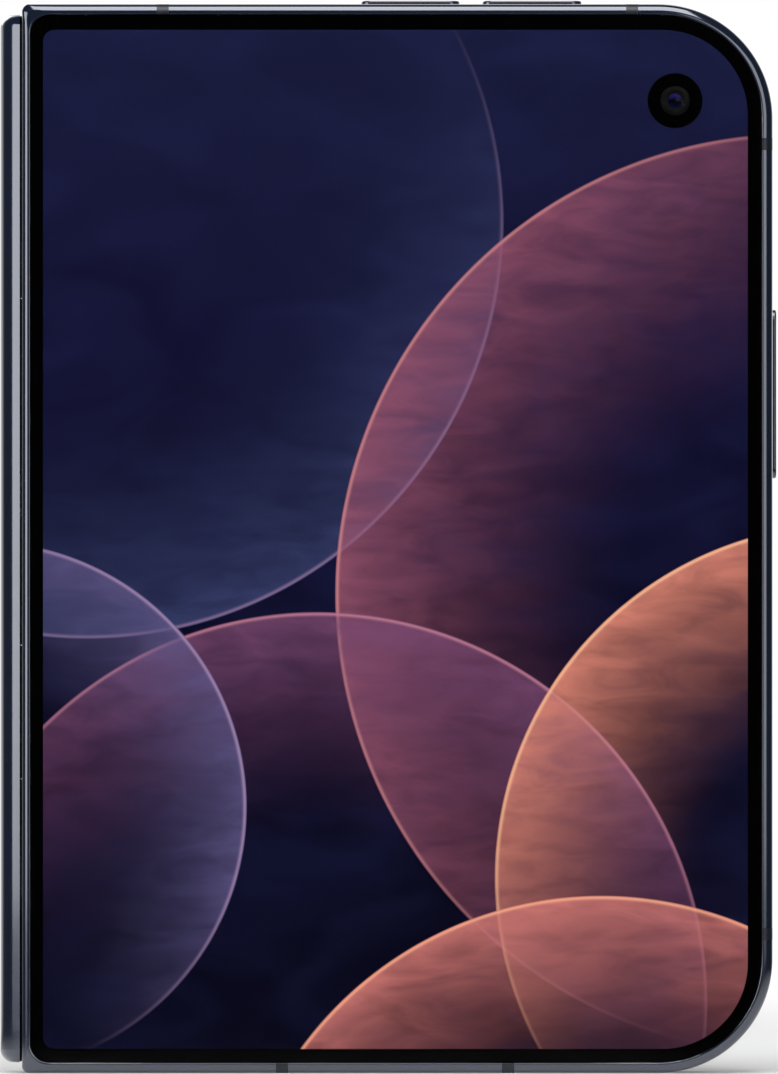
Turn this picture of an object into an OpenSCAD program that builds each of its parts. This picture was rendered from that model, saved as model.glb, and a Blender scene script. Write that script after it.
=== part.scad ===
// Foldable smartphone: two thin halves joined along their left edges by a spine
// that holds a geared double hinge, with one flexible display across the inside.
// It stands upright and closed, as it is seen from the front: X to the right,
// Y towards the back, Z up, millimetres.

/* [Body] */

// width of each half, from its hinge edge to its outer edge
half_w = 84.7; // [72:0.1:104]
// height of each half
body_h = 120.6; // [106:0.1:146]
// thickness of the closed phone over its two glass faces
closed_t = 11.2; // [11:0.1:13.6]
// rounding radius of the two outer corners of each half
outer_corner_r = 12.9; // [9:0.1:15.5]
// rounding radius of the corners at the hinge edge
hinge_corner_r = 0.8; // [0.4:0.1:1]
// thickness of the metal frame's wall round the edge
frame_wall = 1.2; // [1.1:0.05:1.45]
// width of the metal rim beside the glass on the hinge side
hinge_rim = 0.9; // [0.7:0.05:1.2]
// width of the bevel round the outer face of each frame
edge_bevel = 0.35; // [0.2:0.05:0.4]
// gap between the two inner faces when the phone is closed
fold_gap = 0.2; // [0.14:0.02:0.3]

/* [Outer glass and display] */

// thickness of the glass on each outer face
glass_t = 0.45; // [0.35:0.05:0.55]
// thickness of the display panel under the cover glass
panel_t = 0.35; // [0.25:0.05:0.4]
// clearance round each glass in its seat
glass_clear = 0.03; // [0.02:0.01:0.06]
// black border beside the picture area at the sides
picture_border = 1.5; // [1.2:0.1:2]

/* [Spine and hinge] */

// how far the hinge axes lie inside the hinge edges of the halves
axis_x = 0.9; // [0.85:0.01:0.95]
// how far each hinge axis lies from the plane where the halves meet
axis_y = 1.0; // [0.95:0.01:1.05]
// clearance between the spine and the hollows it turns in
spine_clear = 0.15; // [0.1:0.01:0.2]
// wall thickness of the spine cover
spine_wall = 0.5; // [0.4:0.05:0.6]
// distance from the ends of the halves to the ends of the spine
spine_inset = 1.15; // [1.1:0.05:1.5]
// rounding radius of the spine's ends, seen from the front
spine_end_r = 1.5; // [0.8:0.1:1.8]
// width of each swing arm along the spine
arm_w = 4.8; // [4:0.1:5.8]
// clearance on each side of a swing arm in its slot
arm_side_clear = 0.1; // [0.05:0.01:0.2]
// radius of the pitch circle of the four timing gears
gear_pitch_r = 0.75; // [0.72:0.01:0.78]
// number of teeth on each timing gear
gear_teeth = 10; // [10:2:10]
// length of the timing gears along the spine
gear_len = 2.4; // [1.6:0.1:3.2]
// radius of the two timing shafts
shaft_r = 0.35; // [0.3:0.01:0.4]
// radial clearance of the shafts and pins in their plates
shaft_clear = 0.05; // [0.03:0.01:0.08]

/* [Flexible display] */

// thickness of the flexible display across the inside
sheet_t = 0.4; // [0.3:0.05:0.45]
// depth of the flexible display's face below the raised border
sheet_recess = 0.25; // [0.2:0.01:0.3]
// width of the raised border over the flexible display's edges
bezel_w = 1.9; // [1.5:0.1:2.6]

/* [Buttons] */

// length of the volume up button
volume_up_len = 11.1; // [9:0.1:12]
// length of the volume down button
volume_down_len = 11.2; // [9:0.1:12]
// length of the side button
side_button_len = 19.1; // [15:0.1:24]
// width of the buttons across the edge of the half
button_w = 2.2; // [1.6:0.1:2.3]
// height by which the buttons stand out of the edge
button_out = 0.54; // [0.3:0.02:0.8]
// clearance round each button in its slot
button_clear = 0.1; // [0.06:0.01:0.15]
// distance from the hinge edge to the middle of the volume up button
volume_up_x = 43.85; // [40:0.05:46]
// distance from the hinge edge to the middle of the volume down button
volume_down_x = 57.6; // [56:0.05:60]
// height of the middle of the side button
side_button_z = 76.65; // [74:0.05:80]

/* [Cameras] */

// distance from the outer edge to the middle of the front camera
front_cam_side = 11.0; // [9:0.1:16]
// distance from the top edge to the middle of the front camera
front_cam_top = 10.9; // [9:0.1:16]
// radius of the black opening round the front camera
front_cam_open_r = 3.12; // [2.6:0.02:3.6]
// radius of the front camera's barrel
front_cam_r = 1.64; // [1.2:0.02:2]
// length of the raised rear camera island
island_len = 38; // [34:0.5:42]
// height of the rear camera island across its short side
island_h = 15; // [14:0.5:17]
// height by which the camera island stands out of the rear glass
island_out = 2.0; // [1.2:0.1:3]
// radius of the two rear lens windows
lens_r = 5.0; // [4.4:0.1:5.6]

/* [Ports] */

// length of the tray for the network card, along the edge
tray_len = 14; // [13.5:0.1:16]
// how far the tray reaches into the phone
tray_reach = 17.5; // [15:0.5:20]
// clearance round the tray's head in its slot
tray_clear = 0.06; // [0.04:0.01:0.1]
// width of the charging port's metal shell
port_w = 8.94; // [8.9:0.01:8.98]
// height of the charging port's metal shell
port_h = 3.26; // [3.22:0.01:3.3]

/* [Hidden] */

$fn = 64;

// depths of the layers, measured from the plane where the halves meet
out_d = closed_t / 2;
in_d = fold_gap / 2;
glass_d = out_d - glass_t;
panel_d = glass_d - panel_t;
web_t = 0.25;
web_d = panel_d - web_t;
sheet_d = in_d + sheet_recess;
plate_d = sheet_d + sheet_t;
plate_t = 0.3;
shelf_d = plate_d + plate_t;
pocket_d = shelf_d + 0.55;
mid_d = (pocket_d + web_d) / 2 - 0.22;

// spine: its round sides are struck from the two hinge axes
spine_r = web_d - spine_clear - axis_y;
spine_in_r = spine_r - spine_wall;
spine_left = axis_x - spine_r;
spine_z0 = spine_inset;
spine_z1 = body_h - spine_inset;
spine_edge = -0.25;
hinge_wall = spine_inset - 0.1;
cavity_x = axis_x + spine_r + 0.3;
rail_x = cavity_x + 6.4;
relief_r = axis_y - fold_gap / 4;
bracket_face = 0.5;

// swing arms
arm_out_r = spine_in_r - 0.1;
arm_in_r = arm_out_r - 1.0;
arm_d0 = shelf_d + 0.45;
arm_d1 = arm_d0 + 0.55;
arm_end_a = -asin((arm_d0 + 0.232 - axis_y) / arm_in_r);
arm_bar_x = axis_x + sqrt(arm_in_r * arm_in_r - pow(arm_d0 - axis_y, 2)) + 0.02;
leaf_x0 = cavity_x + 0.4;
leaf_x1 = leaf_x0 + 4.5;
leaf_d1 = arm_d0 + 1.1;
arm_screw_x = [leaf_x0 + 1.2, leaf_x0 + 3.3];
slot_w = arm_w + 2 * arm_side_clear;
cheek = 1.5;
ear = 3.0;
bracket_len = 2 * ear + 2 * cheek + 2 + 2 * slot_w;
bracket_z = [15.1, body_h - 15.1 - bracket_len];

// timing gears and their plates
gear_x = -0.35;
gear_y = gear_pitch_r;
gear_mod = 2 * gear_pitch_r / gear_teeth;
sync_z = body_h / 2 - 12;
plate_a = [sync_z, sync_z + 1.5];
gear_z = [plate_a[1] + 0.2, plate_a[1] + 0.2 + gear_len];
plate_b = [gear_z[1] + 0.2, gear_z[1] + 1.6];
sync_arm_z = [plate_b[1] + 0.2, plate_b[1] + 4.2];
disc_z = [sync_arm_z[1] + 0.1, sync_arm_z[1] + 2.0];
clutch_z = [disc_z[1] + 0.1, disc_z[1] + 2.1];
spring_z = [clutch_z[1], clutch_z[1] + 6.0];
plate_c = [spring_z[1], spring_z[1] + 1.5];
sync_arm_x = cavity_x + 2.9;

// edges of the flexible display
sheet_in = frame_wall + 0.8;
fold_end = cavity_x + 0.4;
bezel_x = axis_x + 0.75;

// places of the antenna breaks: top, outer side and bottom
break_w = 1.35;
top_breaks = [15.9, half_w - 15.85];
side_breaks = [15.7, body_h - 15.8];
bottom_breaks = [29.35, half_w - 29.85];

// camera places
front_cam = [half_w - front_cam_side, body_h - front_cam_top];
island_z = body_h - 15.1;
island_x1 = half_w - 6.7;
wide_x = island_x1 - island_h / 2;
ultra_x = wide_x - 14.6;
flash_x = ultra_x - 9.9;

// middle heights and places of the ports
tray_z = 43;
port_x = half_w / 2;
speaker_x = half_w - 27;
origin_shift = [
    -(half_w + button_out - (axis_x - spine_r)) / 2 - (axis_x - spine_r),
    -island_out / 2,
    0
];

// ---- helpers -------------------------------------------------------------

// puts the part on its origin: the middle of its footprint
module place() {
    translate(origin_shift)
        children();
}

// the rear half mirrors the front half
module rear() {
    mirror([0, 1, 0])
        children();
}

// a flat shape drawn in width and height, between two depths of the front half
module slab(d0, d1) {
    translate([0, -d0, 0])
        rotate([90, 0, 0])
            linear_extrude(d1 - d0)
                children();
}

// a shape drawn in width and depth, between two heights
module bar(z) {
    translate([0, 0, z[0]])
        linear_extrude(z[1] - z[0])
            children();
}

// a box between two corners, with its depths measured into the front half
module block(x, d, z) {
    translate([x[0], -d[1], z[0]])
        cube([x[1] - x[0], d[1] - d[0], z[1] - z[0]]);
}

// rectangle with its own rounding at the left and the right corners
module outline(x0, x1, z0, z1, rl, rr) {
    translate([x0 + rl, z0])
        square([x1 - x0 - rl - rr, z1 - z0]);
    translate([x0, z0 + rl])
        square([rl + 0.1, z1 - z0 - 2 * rl]);
    translate([x1 - rr - 0.1, z0 + rr])
        square([rr + 0.1, z1 - z0 - 2 * rr]);
    for (z = [z0 + rl, z1 - rl])
        translate([x0 + rl, z])
            circle(rl);
    for (z = [z0 + rr, z1 - rr])
        translate([x1 - rr, z])
            circle(rr);
}

// thin top layer of a plate, c thick, whose edge leans in by c all round
module bevelled(x0, x1, z0, z1, rl, rr, c) {
    translate([x0 + rl, 0, 0])
        rotate([90, 0, 90])
            linear_extrude(x1 - x0 - rl - rr)
                polygon([[z0, 0], [z1, 0], [z1 - c, c], [z0 + c, c]]);
    translate([0, z1 - rl, 0])
        rotate([90, 0, 0])
            linear_extrude(z1 - z0 - 2 * rl)
                polygon([[x0, 0], [x0 + rl + 0.1, 0], [x0 + rl + 0.1, c], [x0 + c, c]]);
    translate([0, z1 - rr, 0])
        rotate([90, 0, 0])
            linear_extrude(z1 - z0 - 2 * rr)
                polygon([[x1 - rr - 0.1, 0], [x1, 0], [x1 - c, c], [x1 - rr - 0.1, c]]);
    for (z = [z0 + rl, z1 - rl])
        translate([x0 + rl, z, 0])
            cylinder(h = c, r1 = rl, r2 = rl - c);
    for (z = [z0 + rr, z1 - rr])
        translate([x1 - rr, z, 0])
            cylinder(h = c, r1 = rr, r2 = rr - c);
}

// outline of a half, drawn in from its edges
module half_outline(inset, x0, rl) {
    outline(x0, half_w - inset, inset, body_h - inset, rl, outer_corner_r - inset);
}

// slot with round ends, long along the first axis
module slot(len, w) {
    square([len - w, w], center = true);
    for (s = [-1, 1])
        translate([s * (len - w) / 2, 0])
            circle(w / 2);
}

// cross-section of the spine at a given radius about the two hinge axes
module stadium(r) {
    translate([axis_x - r, -axis_y])
        square([2 * r, 2 * axis_y]);
    for (s = [-1, 1])
        translate([axis_x, s * axis_y])
            circle(r);
}

// solid cross-section inside the spine, cut off on the display's side
module spine_filling() {
    intersection() {
        stadium(spine_in_r - 0.05);
        translate([-20, -20])
            square([20 + bracket_face, 40]);
    }
}

// ---- spine ---------------------------------------------------------------

// the spine's shape seen from the front, with rounded ends
module spine_front_view() {
    outline(spine_left, 6, spine_z0, spine_z1, spine_end_r, 0.5);
}

module spine_cover() {
    color("#26303e")
        place()
            intersection() {
                difference() {
                    bar([spine_z0, spine_z1])
                        stadium(spine_r);
                    bar([0, body_h])
                        stadium(spine_in_r);
                    for (z = bracket_screw_z())
                        translate([spine_left + 0.15, 0, z])
                            rotate([0, 90, 0])
                                cylinder(h = 2, r = 0.52);
                }
                translate([-20, -20, 0])
                    cube([20 + spine_edge, 40, body_h]);
                slab(-20, 20)
                    spine_front_view();
            }
}

module spine_end_caps() {
    color("#222b38")
        place()
            intersection() {
                union() {
                    bar([spine_z0, spine_z0 + 1.2])
                        stadium(spine_in_r - 0.02);
                    bar([spine_z1 - 1.2, spine_z1])
                        stadium(spine_in_r - 0.02);
                }
                translate([-20, -20, 0])
                    cube([20 - 0.1, 40, body_h]);
                slab(-20, 20)
                    spine_front_view();
            }
}

// an ear that takes one screw into the spine cover
module screw_ear(z0) {
    difference() {
        translate([spine_left + spine_wall + 0.05, -1.2, z0])
            cube([0.7, 2.4, ear + 0.4]);
        translate([spine_left - 1, 0, z0 + ear / 2])
            rotate([0, 90, 0])
                cylinder(h = 4, r = 0.55);
    }
}

// one bracket: three cheeks with a slot for a front arm and one for a rear arm
module hinge_bracket(z0) {
    z1 = z0 + ear;
    z2 = z1 + cheek + slot_w;
    z3 = z2 + 2 + slot_w;
    bar([z1, z1 + cheek])
        spine_filling();
    bar([z2, z2 + 2])
        spine_filling();
    bar([z3, z3 + cheek])
        spine_filling();
    bar([z1 + cheek - 0.5, z2 + 0.5])
        intersection() {
            spine_filling();
            translate([axis_x, -axis_y])
                circle(arm_in_r - shaft_clear);
        }
    bar([z2 + 1.5, z3 + 0.5])
        intersection() {
            spine_filling();
            translate([axis_x, axis_y])
                circle(arm_in_r - shaft_clear);
        }
    screw_ear(z0);
    translate([0, 0, 2 * z3 + 2 * cheek + ear - 0.4])
        mirror([0, 0, 1])
            screw_ear(z3 + cheek - 0.4);
}

module hinge_brackets() {
    color("#8d939b")
        place()
            for (z = bracket_z)
                hinge_bracket(z);
}

// heights of the front arms and of the rear arms, middle of each
function front_arm_z(i) = bracket_z[i] + ear + cheek + slot_w / 2;
function rear_arm_z(i) = front_arm_z(i) + slot_w + 2;

// heights of the six screws that hold the brackets
function bracket_screw_z() = [
    bracket_z[0] + ear / 2, bracket_z[0] + bracket_len - ear / 2,
    bracket_z[1] + ear / 2, bracket_z[1] + bracket_len - ear / 2,
    plate_a[0] - ear / 2, plate_c[1] + ear / 2
];

module shaft_bores(z, clear) {
    for (s = [-1, 1]) {
        translate([gear_x, s * 3 * gear_y, z[0] - 1])
            cylinder(h = z[1] - z[0] + 2, r = shaft_r + clear);
        translate([gear_x, s * gear_y, z[0] - 1])
            cylinder(h = z[1] - z[0] + 2, r = shaft_r - 0.05 + clear);
    }
}

module sync_bracket() {
    color("#8d939b")
        place() {
            difference() {
                union() {
                    for (z = [plate_a, plate_b, plate_c])
                        bar(z)
                            spine_filling();
                    translate([spine_left + spine_wall + 0.1, -1.4, plate_a[0] + 0.2])
                        cube([0.45, 2.8, plate_c[1] - plate_a[0] - 0.4]);
                }
                shaft_bores([plate_a[0], plate_b[1]], shaft_clear);
                for (s = [-1, 1])
                    translate([gear_x, s * 3 * gear_y, plate_c[0] - 1])
                        cylinder(h = 4, r = shaft_r + shaft_clear);
            }
            screw_ear(plate_a[0] - ear);
            translate([0, 0, plate_c[1] + ear + plate_c[1] - 0.4])
                mirror([0, 0, 1])
                    screw_ear(plate_c[1] - 0.4);
        }
}

module friction_plate() {
    color("#6f757d")
        place()
            difference() {
                intersection() {
                    bar(clutch_z)
                        spine_filling();
                    translate([spine_left + spine_wall + 0.6, -20, 0])
                        cube([20, 40, body_h]);
                }
                for (s = [-1, 1])
                    translate([gear_x, s * 3 * gear_y, 0])
                        cylinder(h = body_h, r = shaft_r + shaft_clear);
            }
}

// two stacks of cone-shaped disc springs
module torque_springs() {
    discs = 12;
    step = (spring_z[1] - spring_z[0]) / discs;
    color("#b3b7bd")
        place()
            for (s = [-1, 1])
                translate([gear_x, s * 3 * gear_y, spring_z[0]])
                    difference() {
                        for (i = [0 : discs - 1])
                            translate([0, 0, i * step])
                                cylinder(
                                    h = step,
                                    r1 = i % 2 == 0 ? 0.8 : 0.62,
                                    r2 = i % 2 == 0 ? 0.62 : 0.8
                                );
                        translate([0, 0, -1])
                            cylinder(h = spring_z[1] - spring_z[0] + 2, r = shaft_r + 0.06);
                    }
}

module bracket_screws() {
    color("#c9ccd1")
        place()
            for (z = bracket_screw_z())
                translate([spine_left + 0.2, 0, z])
                    rotate([0, 90, 0]) {
                        cylinder(h = 1.2, r = 0.5);
                        translate([0, 0, spine_wall - 0.2 + 0.75])
                            difference() {
                                cylinder(h = 0.4, r = 0.85);
                                translate([0, 0, 0.2])
                                    cylinder(h = 1, r = 0.3, $fn = 6);
                            }
                    }
}

// thin rail under the folding part of the flexible display
module fold_support_bar() {
    color("#7d838b")
        place() {
            block([0.62, 0.92], [-0.8, 0.8], [4, body_h - 4]);
            for (z = bracket_z)
                for (f = [z + ear + 0.2, z + bracket_len - ear - 1.3])
                    block([bracket_face, 0.7], [-0.6, 0.6], [f, f + 1.1]);
        }
}

// ---- flexible display ----------------------------------------------------

// how much of a half's turn the sheet takes at a place, from 0 to 1
function ease(t) = let(u = min(1, max(0, t))) u * u * (3 - 2 * u);
fold_dx = axis_y - sheet_d;
fold_tilt = 45;
fold_p0 = 0.6;
fold_p1 = 3.25;

// place of the sheet's face at a length s from the middle, for a share w of the turn
function fold_at(s, w) = [
    axis_x + fold_dx * cos(90 * w) - (axis_y - s) * sin(90 * w),
    -axis_y + fold_dx * sin(90 * w) + (axis_y - s) * cos(90 * w)
];
function fold_err(s, w) = let(p = fold_at(s, w))
    w - ease((p[0] * cos(fold_tilt) - p[1] * sin(fold_tilt) - fold_p0) / (fold_p1 - fold_p0));
function fold_share(s, lo = 0, hi = 1, n = 30) = n == 0
    ? (lo + hi) / 2
    : let(m = (lo + hi) / 2)
        fold_err(s, m) > 0 ? fold_share(s, lo, m, n - 1) : fold_share(s, m, hi, n - 1);
function fold_point(s) = let(p = fold_at(s, fold_share(s))) [p[0], min(p[1], 0)];
function fold_back(s) = let(
    q0 = fold_at(s - 0.02, fold_share(s - 0.02)),
    q1 = fold_at(s + 0.02, fold_share(s + 0.02)),
    d = (q1 - q0) / norm(q1 - q0),
    p = fold_at(s, fold_share(s))
) [p[0] + sheet_t * d[1], min(p[1] - sheet_t * d[0], 0)];
fold_flat = (fold_p1 - sheet_d * sin(fold_tilt)) / cos(fold_tilt) + (axis_y - axis_x);
fold_s = [for (i = [1 : 26]) i * (fold_flat + 0.05) / 26];
face_curve = [for (s = fold_s) fold_point(s)];
back_curve = [for (s = fold_s) fold_back(s)];
last = len(fold_s) - 1;

// cross-section of the folded sheet: a drop shape between the two hinge axes
module fold_section() {
    polygon(concat(
        [[fold_end, sheet_d]],
        [for (i = [last : -1 : 0]) [face_curve[i][0], -face_curve[i][1]]],
        [[fold_point(0)[0], 0]],
        face_curve,
        [[fold_end, -sheet_d], [fold_end, -sheet_d - sheet_t]],
        [for (i = [last : -1 : 0]) back_curve[i]],
        [[fold_point(0)[0] - sheet_t, 0]],
        [for (i = [0 : last]) [back_curve[i][0], -back_curve[i][1]]],
        [[fold_end, sheet_d + sheet_t]]
    ));
}

module inner_display_fold() {
    color("#0b0c10")
        place()
            bar([sheet_in, body_h - sheet_in])
                fold_section();
}

module display_flat() {
    slab(sheet_d, sheet_d + sheet_t)
        outline(fold_end, half_w - sheet_in, sheet_in, body_h - sheet_in,
                0.2, outer_corner_r - sheet_in);
    block([fold_end, fold_end + 1], [sheet_d, sheet_d + sheet_t],
          [sheet_in, body_h - sheet_in]);
}

module inner_display_front() {
    color("#0b0c10")
        place()
            display_flat();
}

module inner_display_rear() {
    color("#0b0c10")
        place()
            rear()
                display_flat();
}

// raised border over the edges of the flexible display, open at the hinge
module bezel() {
    difference() {
        slab(in_d, sheet_d)
            half_outline(frame_wall + 0.03, bezel_x, 0.2);
        slab(in_d - 1, sheet_d + 1)
            outline(-2, half_w - frame_wall - bezel_w, frame_wall + bezel_w,
                    body_h - frame_wall - bezel_w, 0.2, outer_corner_r - frame_wall - bezel_w);
    }
}

module front_inner_bezel() {
    color("#121318")
        place()
            bezel();
}

module rear_inner_bezel() {
    color("#121318")
        place()
            rear()
                bezel();
}

// stiff plate that carries the flat part of the flexible display
module inner_plate() {
    slab(plate_d, shelf_d)
        half_outline(frame_wall + 0.1, cavity_x + 0.8, 0.6);
}

module front_inner_plate() {
    color("#70767e")
        place()
            inner_plate();
}

module rear_inner_plate() {
    color("#70767e")
        place()
            rear()
                inner_plate();
}

// ---- timing gears and arms -----------------------------------------------

// one gear outline: root, flank and tip points of every tooth
function gear_points(turn) = [
    for (k = [0 : gear_teeth - 1])
        for (q = [
            [-12, -1.28], [-7, 0], [-3, 1], [3, 1], [7, 0], [12, -1.28]
        ])
            let(
                r = gear_pitch_r + q[1] * gear_mod,
                a = turn + 360 * k / gear_teeth + q[0]
            )
            [r * cos(a), r * sin(a)]
];

module gear(turn) {
    bar(gear_z)
        polygon(gear_points(turn));
}

// shaft with its gear and its friction disc
module sync_shaft(turn) {
    translate([gear_x, -3 * gear_y, 0]) {
        translate([0, 0, plate_a[0] + 0.3])
            cylinder(h = plate_c[1] + 0.3 - plate_a[0] - 0.3, r = shaft_r);
        gear(turn);
        translate([0, 0, disc_z[0]])
            cylinder(h = disc_z[1] - disc_z[0], r = 0.8);
    }
}

// arm that turns with its shaft and slides in a pocket of its half
module sync_arm() {
    difference() {
        bar(sync_arm_z) {
            translate([gear_x, -3 * gear_y])
                circle(0.75);
            translate([gear_x, -arm_d1])
                square([sync_arm_x - gear_x, arm_d1 - arm_d0]);
        }
        translate([gear_x, -3 * gear_y, 0])
            cylinder(h = body_h, r = shaft_r + 0.01);
    }
}

module front_sync_shaft() {
    color("#a5a9af")
        place()
            sync_shaft(18);
}

module rear_sync_shaft() {
    color("#a5a9af")
        place()
            rear()
                sync_shaft(0);
}

module front_sync_arm() {
    color("#969ba2")
        place()
            sync_arm();
}

module rear_sync_arm() {
    color("#969ba2")
        place()
            rear()
                sync_arm();
}

// idler gear on its own pin
module idler(turn) {
    translate([gear_x, -gear_y, 0]) {
        gear(turn);
        translate([0, 0, plate_a[0] + 0.4])
            cylinder(h = plate_b[1] - plate_a[0] - 0.8, r = shaft_r - 0.05);
    }
}

module front_idler_gear() {
    color("#b9a36a")
        place()
            idler(0);
}

module rear_idler_gear() {
    color("#b9a36a")
        place()
            rear()
                idler(18);
}

// swing arm: an arc about the hinge axis, a thin neck and a leaf with two screw holes
module swing_arm(zm) {
    a0 = 200;
    a1 = 360 + arm_end_a;
    difference() {
        bar([zm - arm_w / 2, zm + arm_w / 2]) {
            translate([axis_x, -axis_y])
                intersection() {
                    difference() {
                        circle(arm_out_r);
                        circle(arm_in_r);
                    }
                    polygon(concat([[0, 0]], [
                        for (i = [0 : 4])
                            let(a = a0 + (a1 - a0) * i / 4)
                            [9 * cos(a), 9 * sin(a)]
                    ]));
                }
            translate([arm_bar_x, -arm_d1])
                square([leaf_x0 + 0.2 - arm_bar_x, arm_d1 - arm_d0]);
            translate([leaf_x0, -leaf_d1])
                square([leaf_x1 - leaf_x0, leaf_d1 - arm_d0]);
        }
        for (x = arm_screw_x)
            translate([x, 0, zm])
                rotate([90, 0, 0])
                    cylinder(h = 9, r = 0.55);
    }
}

module front_swing_arms() {
    color("#9ba0a7")
        place()
            for (i = [0, 1])
                swing_arm(front_arm_z(i));
}

module rear_swing_arms() {
    color("#9ba0a7")
        place()
            rear()
                for (i = [0, 1])
                    swing_arm(rear_arm_z(i));
}

// screw through an arm's leaf into the rail of the frame
module arm_screw(x, z) {
    translate([x, -arm_d0, z])
        rotate([90, 0, 0]) {
            cylinder(h = 2.3, r = 0.48);
            translate([0, 0, -0.35])
                difference() {
                    cylinder(h = 0.35, r = 0.85);
                    translate([0, 0, -0.1])
                        cylinder(h = 0.3, r = 0.3, $fn = 6);
                }
        }
}

module front_arm_screws() {
    color("#c9ccd1")
        place()
            for (i = [0, 1])
                for (x = arm_screw_x)
                    arm_screw(x, front_arm_z(i));
}

module rear_arm_screws() {
    color("#c9ccd1")
        place()
            rear()
                for (i = [0, 1])
                    for (x = arm_screw_x)
                        arm_screw(x, rear_arm_z(i));
}

// ---- frames --------------------------------------------------------------

// pockets in the rail for the leaves of the swing arms and for the timing arm
module rail_pockets(zs) {
    for (z = zs) {
        block([cavity_x - 0.1, leaf_x1 + 0.1], [0, leaf_d1],
              [z - slot_w / 2, z + slot_w / 2]);
        for (x = arm_screw_x)
            translate([x, -leaf_d1 + 0.1, z])
                rotate([90, 0, 0])
                    cylinder(h = 1.6, r = 0.5);
    }
    block([cavity_x - 0.1, rail_x - 0.8], [0, web_d - 1.6],
          [sync_arm_z[0] - 0.15, sync_arm_z[1] + 0.15]);
}

// metal frame of a half with all the seats that both halves share
module frame_body(zs) {
    difference() {
        union() {
            slab(in_d, out_d - edge_bevel)
                half_outline(0, 0, hinge_corner_r);
            translate([0, edge_bevel - out_d, 0])
                rotate([90, 0, 0])
                    bevelled(0, half_w, 0, body_h, hinge_corner_r, outer_corner_r, edge_bevel);
        }
        slab(glass_d, out_d + 1)
            outline(hinge_rim, half_w - frame_wall + glass_clear,
                    spine_inset - glass_clear, body_h - spine_inset + glass_clear,
                    2.33, outer_corner_r - frame_wall);
        slab(-1, shelf_d)
            half_outline(frame_wall, -2, 0.2);
        slab(shelf_d - 0.2, pocket_d + 0.1)
            half_outline(frame_wall + 1.5, rail_x, 0.6);
        slab(pocket_d, web_d)
            half_outline(frame_wall, rail_x, 0.6);
        block([-1, cavity_x], [-1, web_d], [hinge_wall, body_h - hinge_wall]);
        difference() {
            block([-1, axis_x], [-1, axis_y], [-1, body_h + 1]);
            translate([axis_x, -axis_y, -2])
                cylinder(h = body_h + 4, r = relief_r);
        }
        rail_pockets(zs);
    }
}

// the strips of the frame that are plastic instead of metal
module break_boxes() {
    w = break_w / 2;
    for (x = top_breaks)
        block([x - w, x + w], [-1, 9], [body_h - frame_wall, body_h + 1]);
    for (x = bottom_breaks)
        block([x - w, x + w], [-1, 9], [-1, frame_wall]);
    for (z = side_breaks)
        block([half_w - frame_wall, half_w + 1], [-1, 9], [z - w, z + w]);
}

module front_frame_whole() {
    difference() {
        frame_body([front_arm_z(0), front_arm_z(1)]);
        slab(panel_d, glass_d + 0.1)
            half_outline(frame_wall + 0.6, hinge_rim + 0.7, 1.6);
        slab(web_d - 1, glass_d)
            translate(front_cam)
                circle(front_cam_r + 0.08);
        translate([port_x, -mid_d, body_h - frame_wall - 1])
            linear_extrude(4)
                slot(9, 0.7);
    }
}

module front_frame() {
    color("#1c2534")
        place()
            difference() {
                front_frame_whole();
                break_boxes();
            }
}

module front_antenna_breaks() {
    color("#3a4456")
        place()
            intersection() {
                front_frame_whole();
                break_boxes();
            }
}

// slot in the edge for one button, drawn at the edge with its length along X
module button_slot(len) {
    translate([0, 0, -frame_wall - 0.4])
        linear_extrude(frame_wall + 2)
            slot(len + 2 * button_clear, button_w + 2 * button_clear);
}

module at_top_edge(x) {
    translate([x, -mid_d, body_h])
        children();
}

module at_outer_edge(z) {
    translate([half_w, -mid_d, z])
        rotate([0, 90, 0])
            children();
}

module rear_frame_whole() {
    difference() {
        frame_body([rear_arm_z(0), rear_arm_z(1)]);
        at_top_edge(volume_up_x)
            button_slot(volume_up_len);
        at_top_edge(volume_down_x)
            button_slot(volume_down_len);
        at_outer_edge(side_button_z)
            button_slot(side_button_len);
        at_outer_edge(tray_z)
            translate([0, 0, -frame_wall - 0.2])
                linear_extrude(3)
                    slot(tray_len, 1.8);
        // round pocket for the charging coil and bores for the cameras and the flash
        slab(panel_d, glass_d + 0.1)
            translate([port_x, body_h / 2 - 8])
                circle(20.5);
        for (x = [wide_x, ultra_x])
            slab(web_d - 0.5, glass_d + 0.5)
                translate([x, island_z])
                    circle(lens_r - 0.5);
        slab(web_d - 0.5, glass_d + 0.5)
            translate([flash_x, island_z])
                circle(1.2);
        // charging port, microphone and the row of speaker holes
        translate([port_x, -mid_d, -1])
            linear_extrude(frame_wall + 2.6)
                slot(port_w + 0.1, port_h + 0.1);
        translate([port_x - 12, -mid_d, -1])
            cylinder(h = frame_wall + 2, r = 0.5);
        for (i = [0 : 5])
            translate([speaker_x + (i - 2.5) * 2.2, -mid_d, -1])
                cylinder(h = frame_wall + 2, r = 0.6);
    }
}

module rear_frame() {
    color("#1c2534")
        place()
            rear()
                difference() {
                    rear_frame_whole();
                    break_boxes();
                }
}

module rear_antenna_breaks() {
    color("#3a4456")
        place()
            rear()
                intersection() {
                    rear_frame_whole();
                    break_boxes();
                }
}

// ---- front half ----------------------------------------------------------

module glass_outline() {
    outline(hinge_rim + glass_clear, half_w - frame_wall,
            spine_inset, body_h - spine_inset, 2.3, outer_corner_r - frame_wall - glass_clear);
}

module cover_glass() {
    color("#0a0c12")
        place()
            slab(glass_d, out_d)
                glass_outline();
}

module cover_display() {
    color("#1a1c3c")
        place()
            difference() {
                slab(panel_d, glass_d)
                    outline(hinge_rim + picture_border - 0.6, half_w - frame_wall - picture_border + 0.8,
                            frame_wall + 0.9, body_h - frame_wall - 0.9, 1.4, outer_corner_r - 2.2);
                slab(panel_d - 1, glass_d + 1)
                    translate(front_cam)
                        circle(front_cam_open_r);
            }
}

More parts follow.
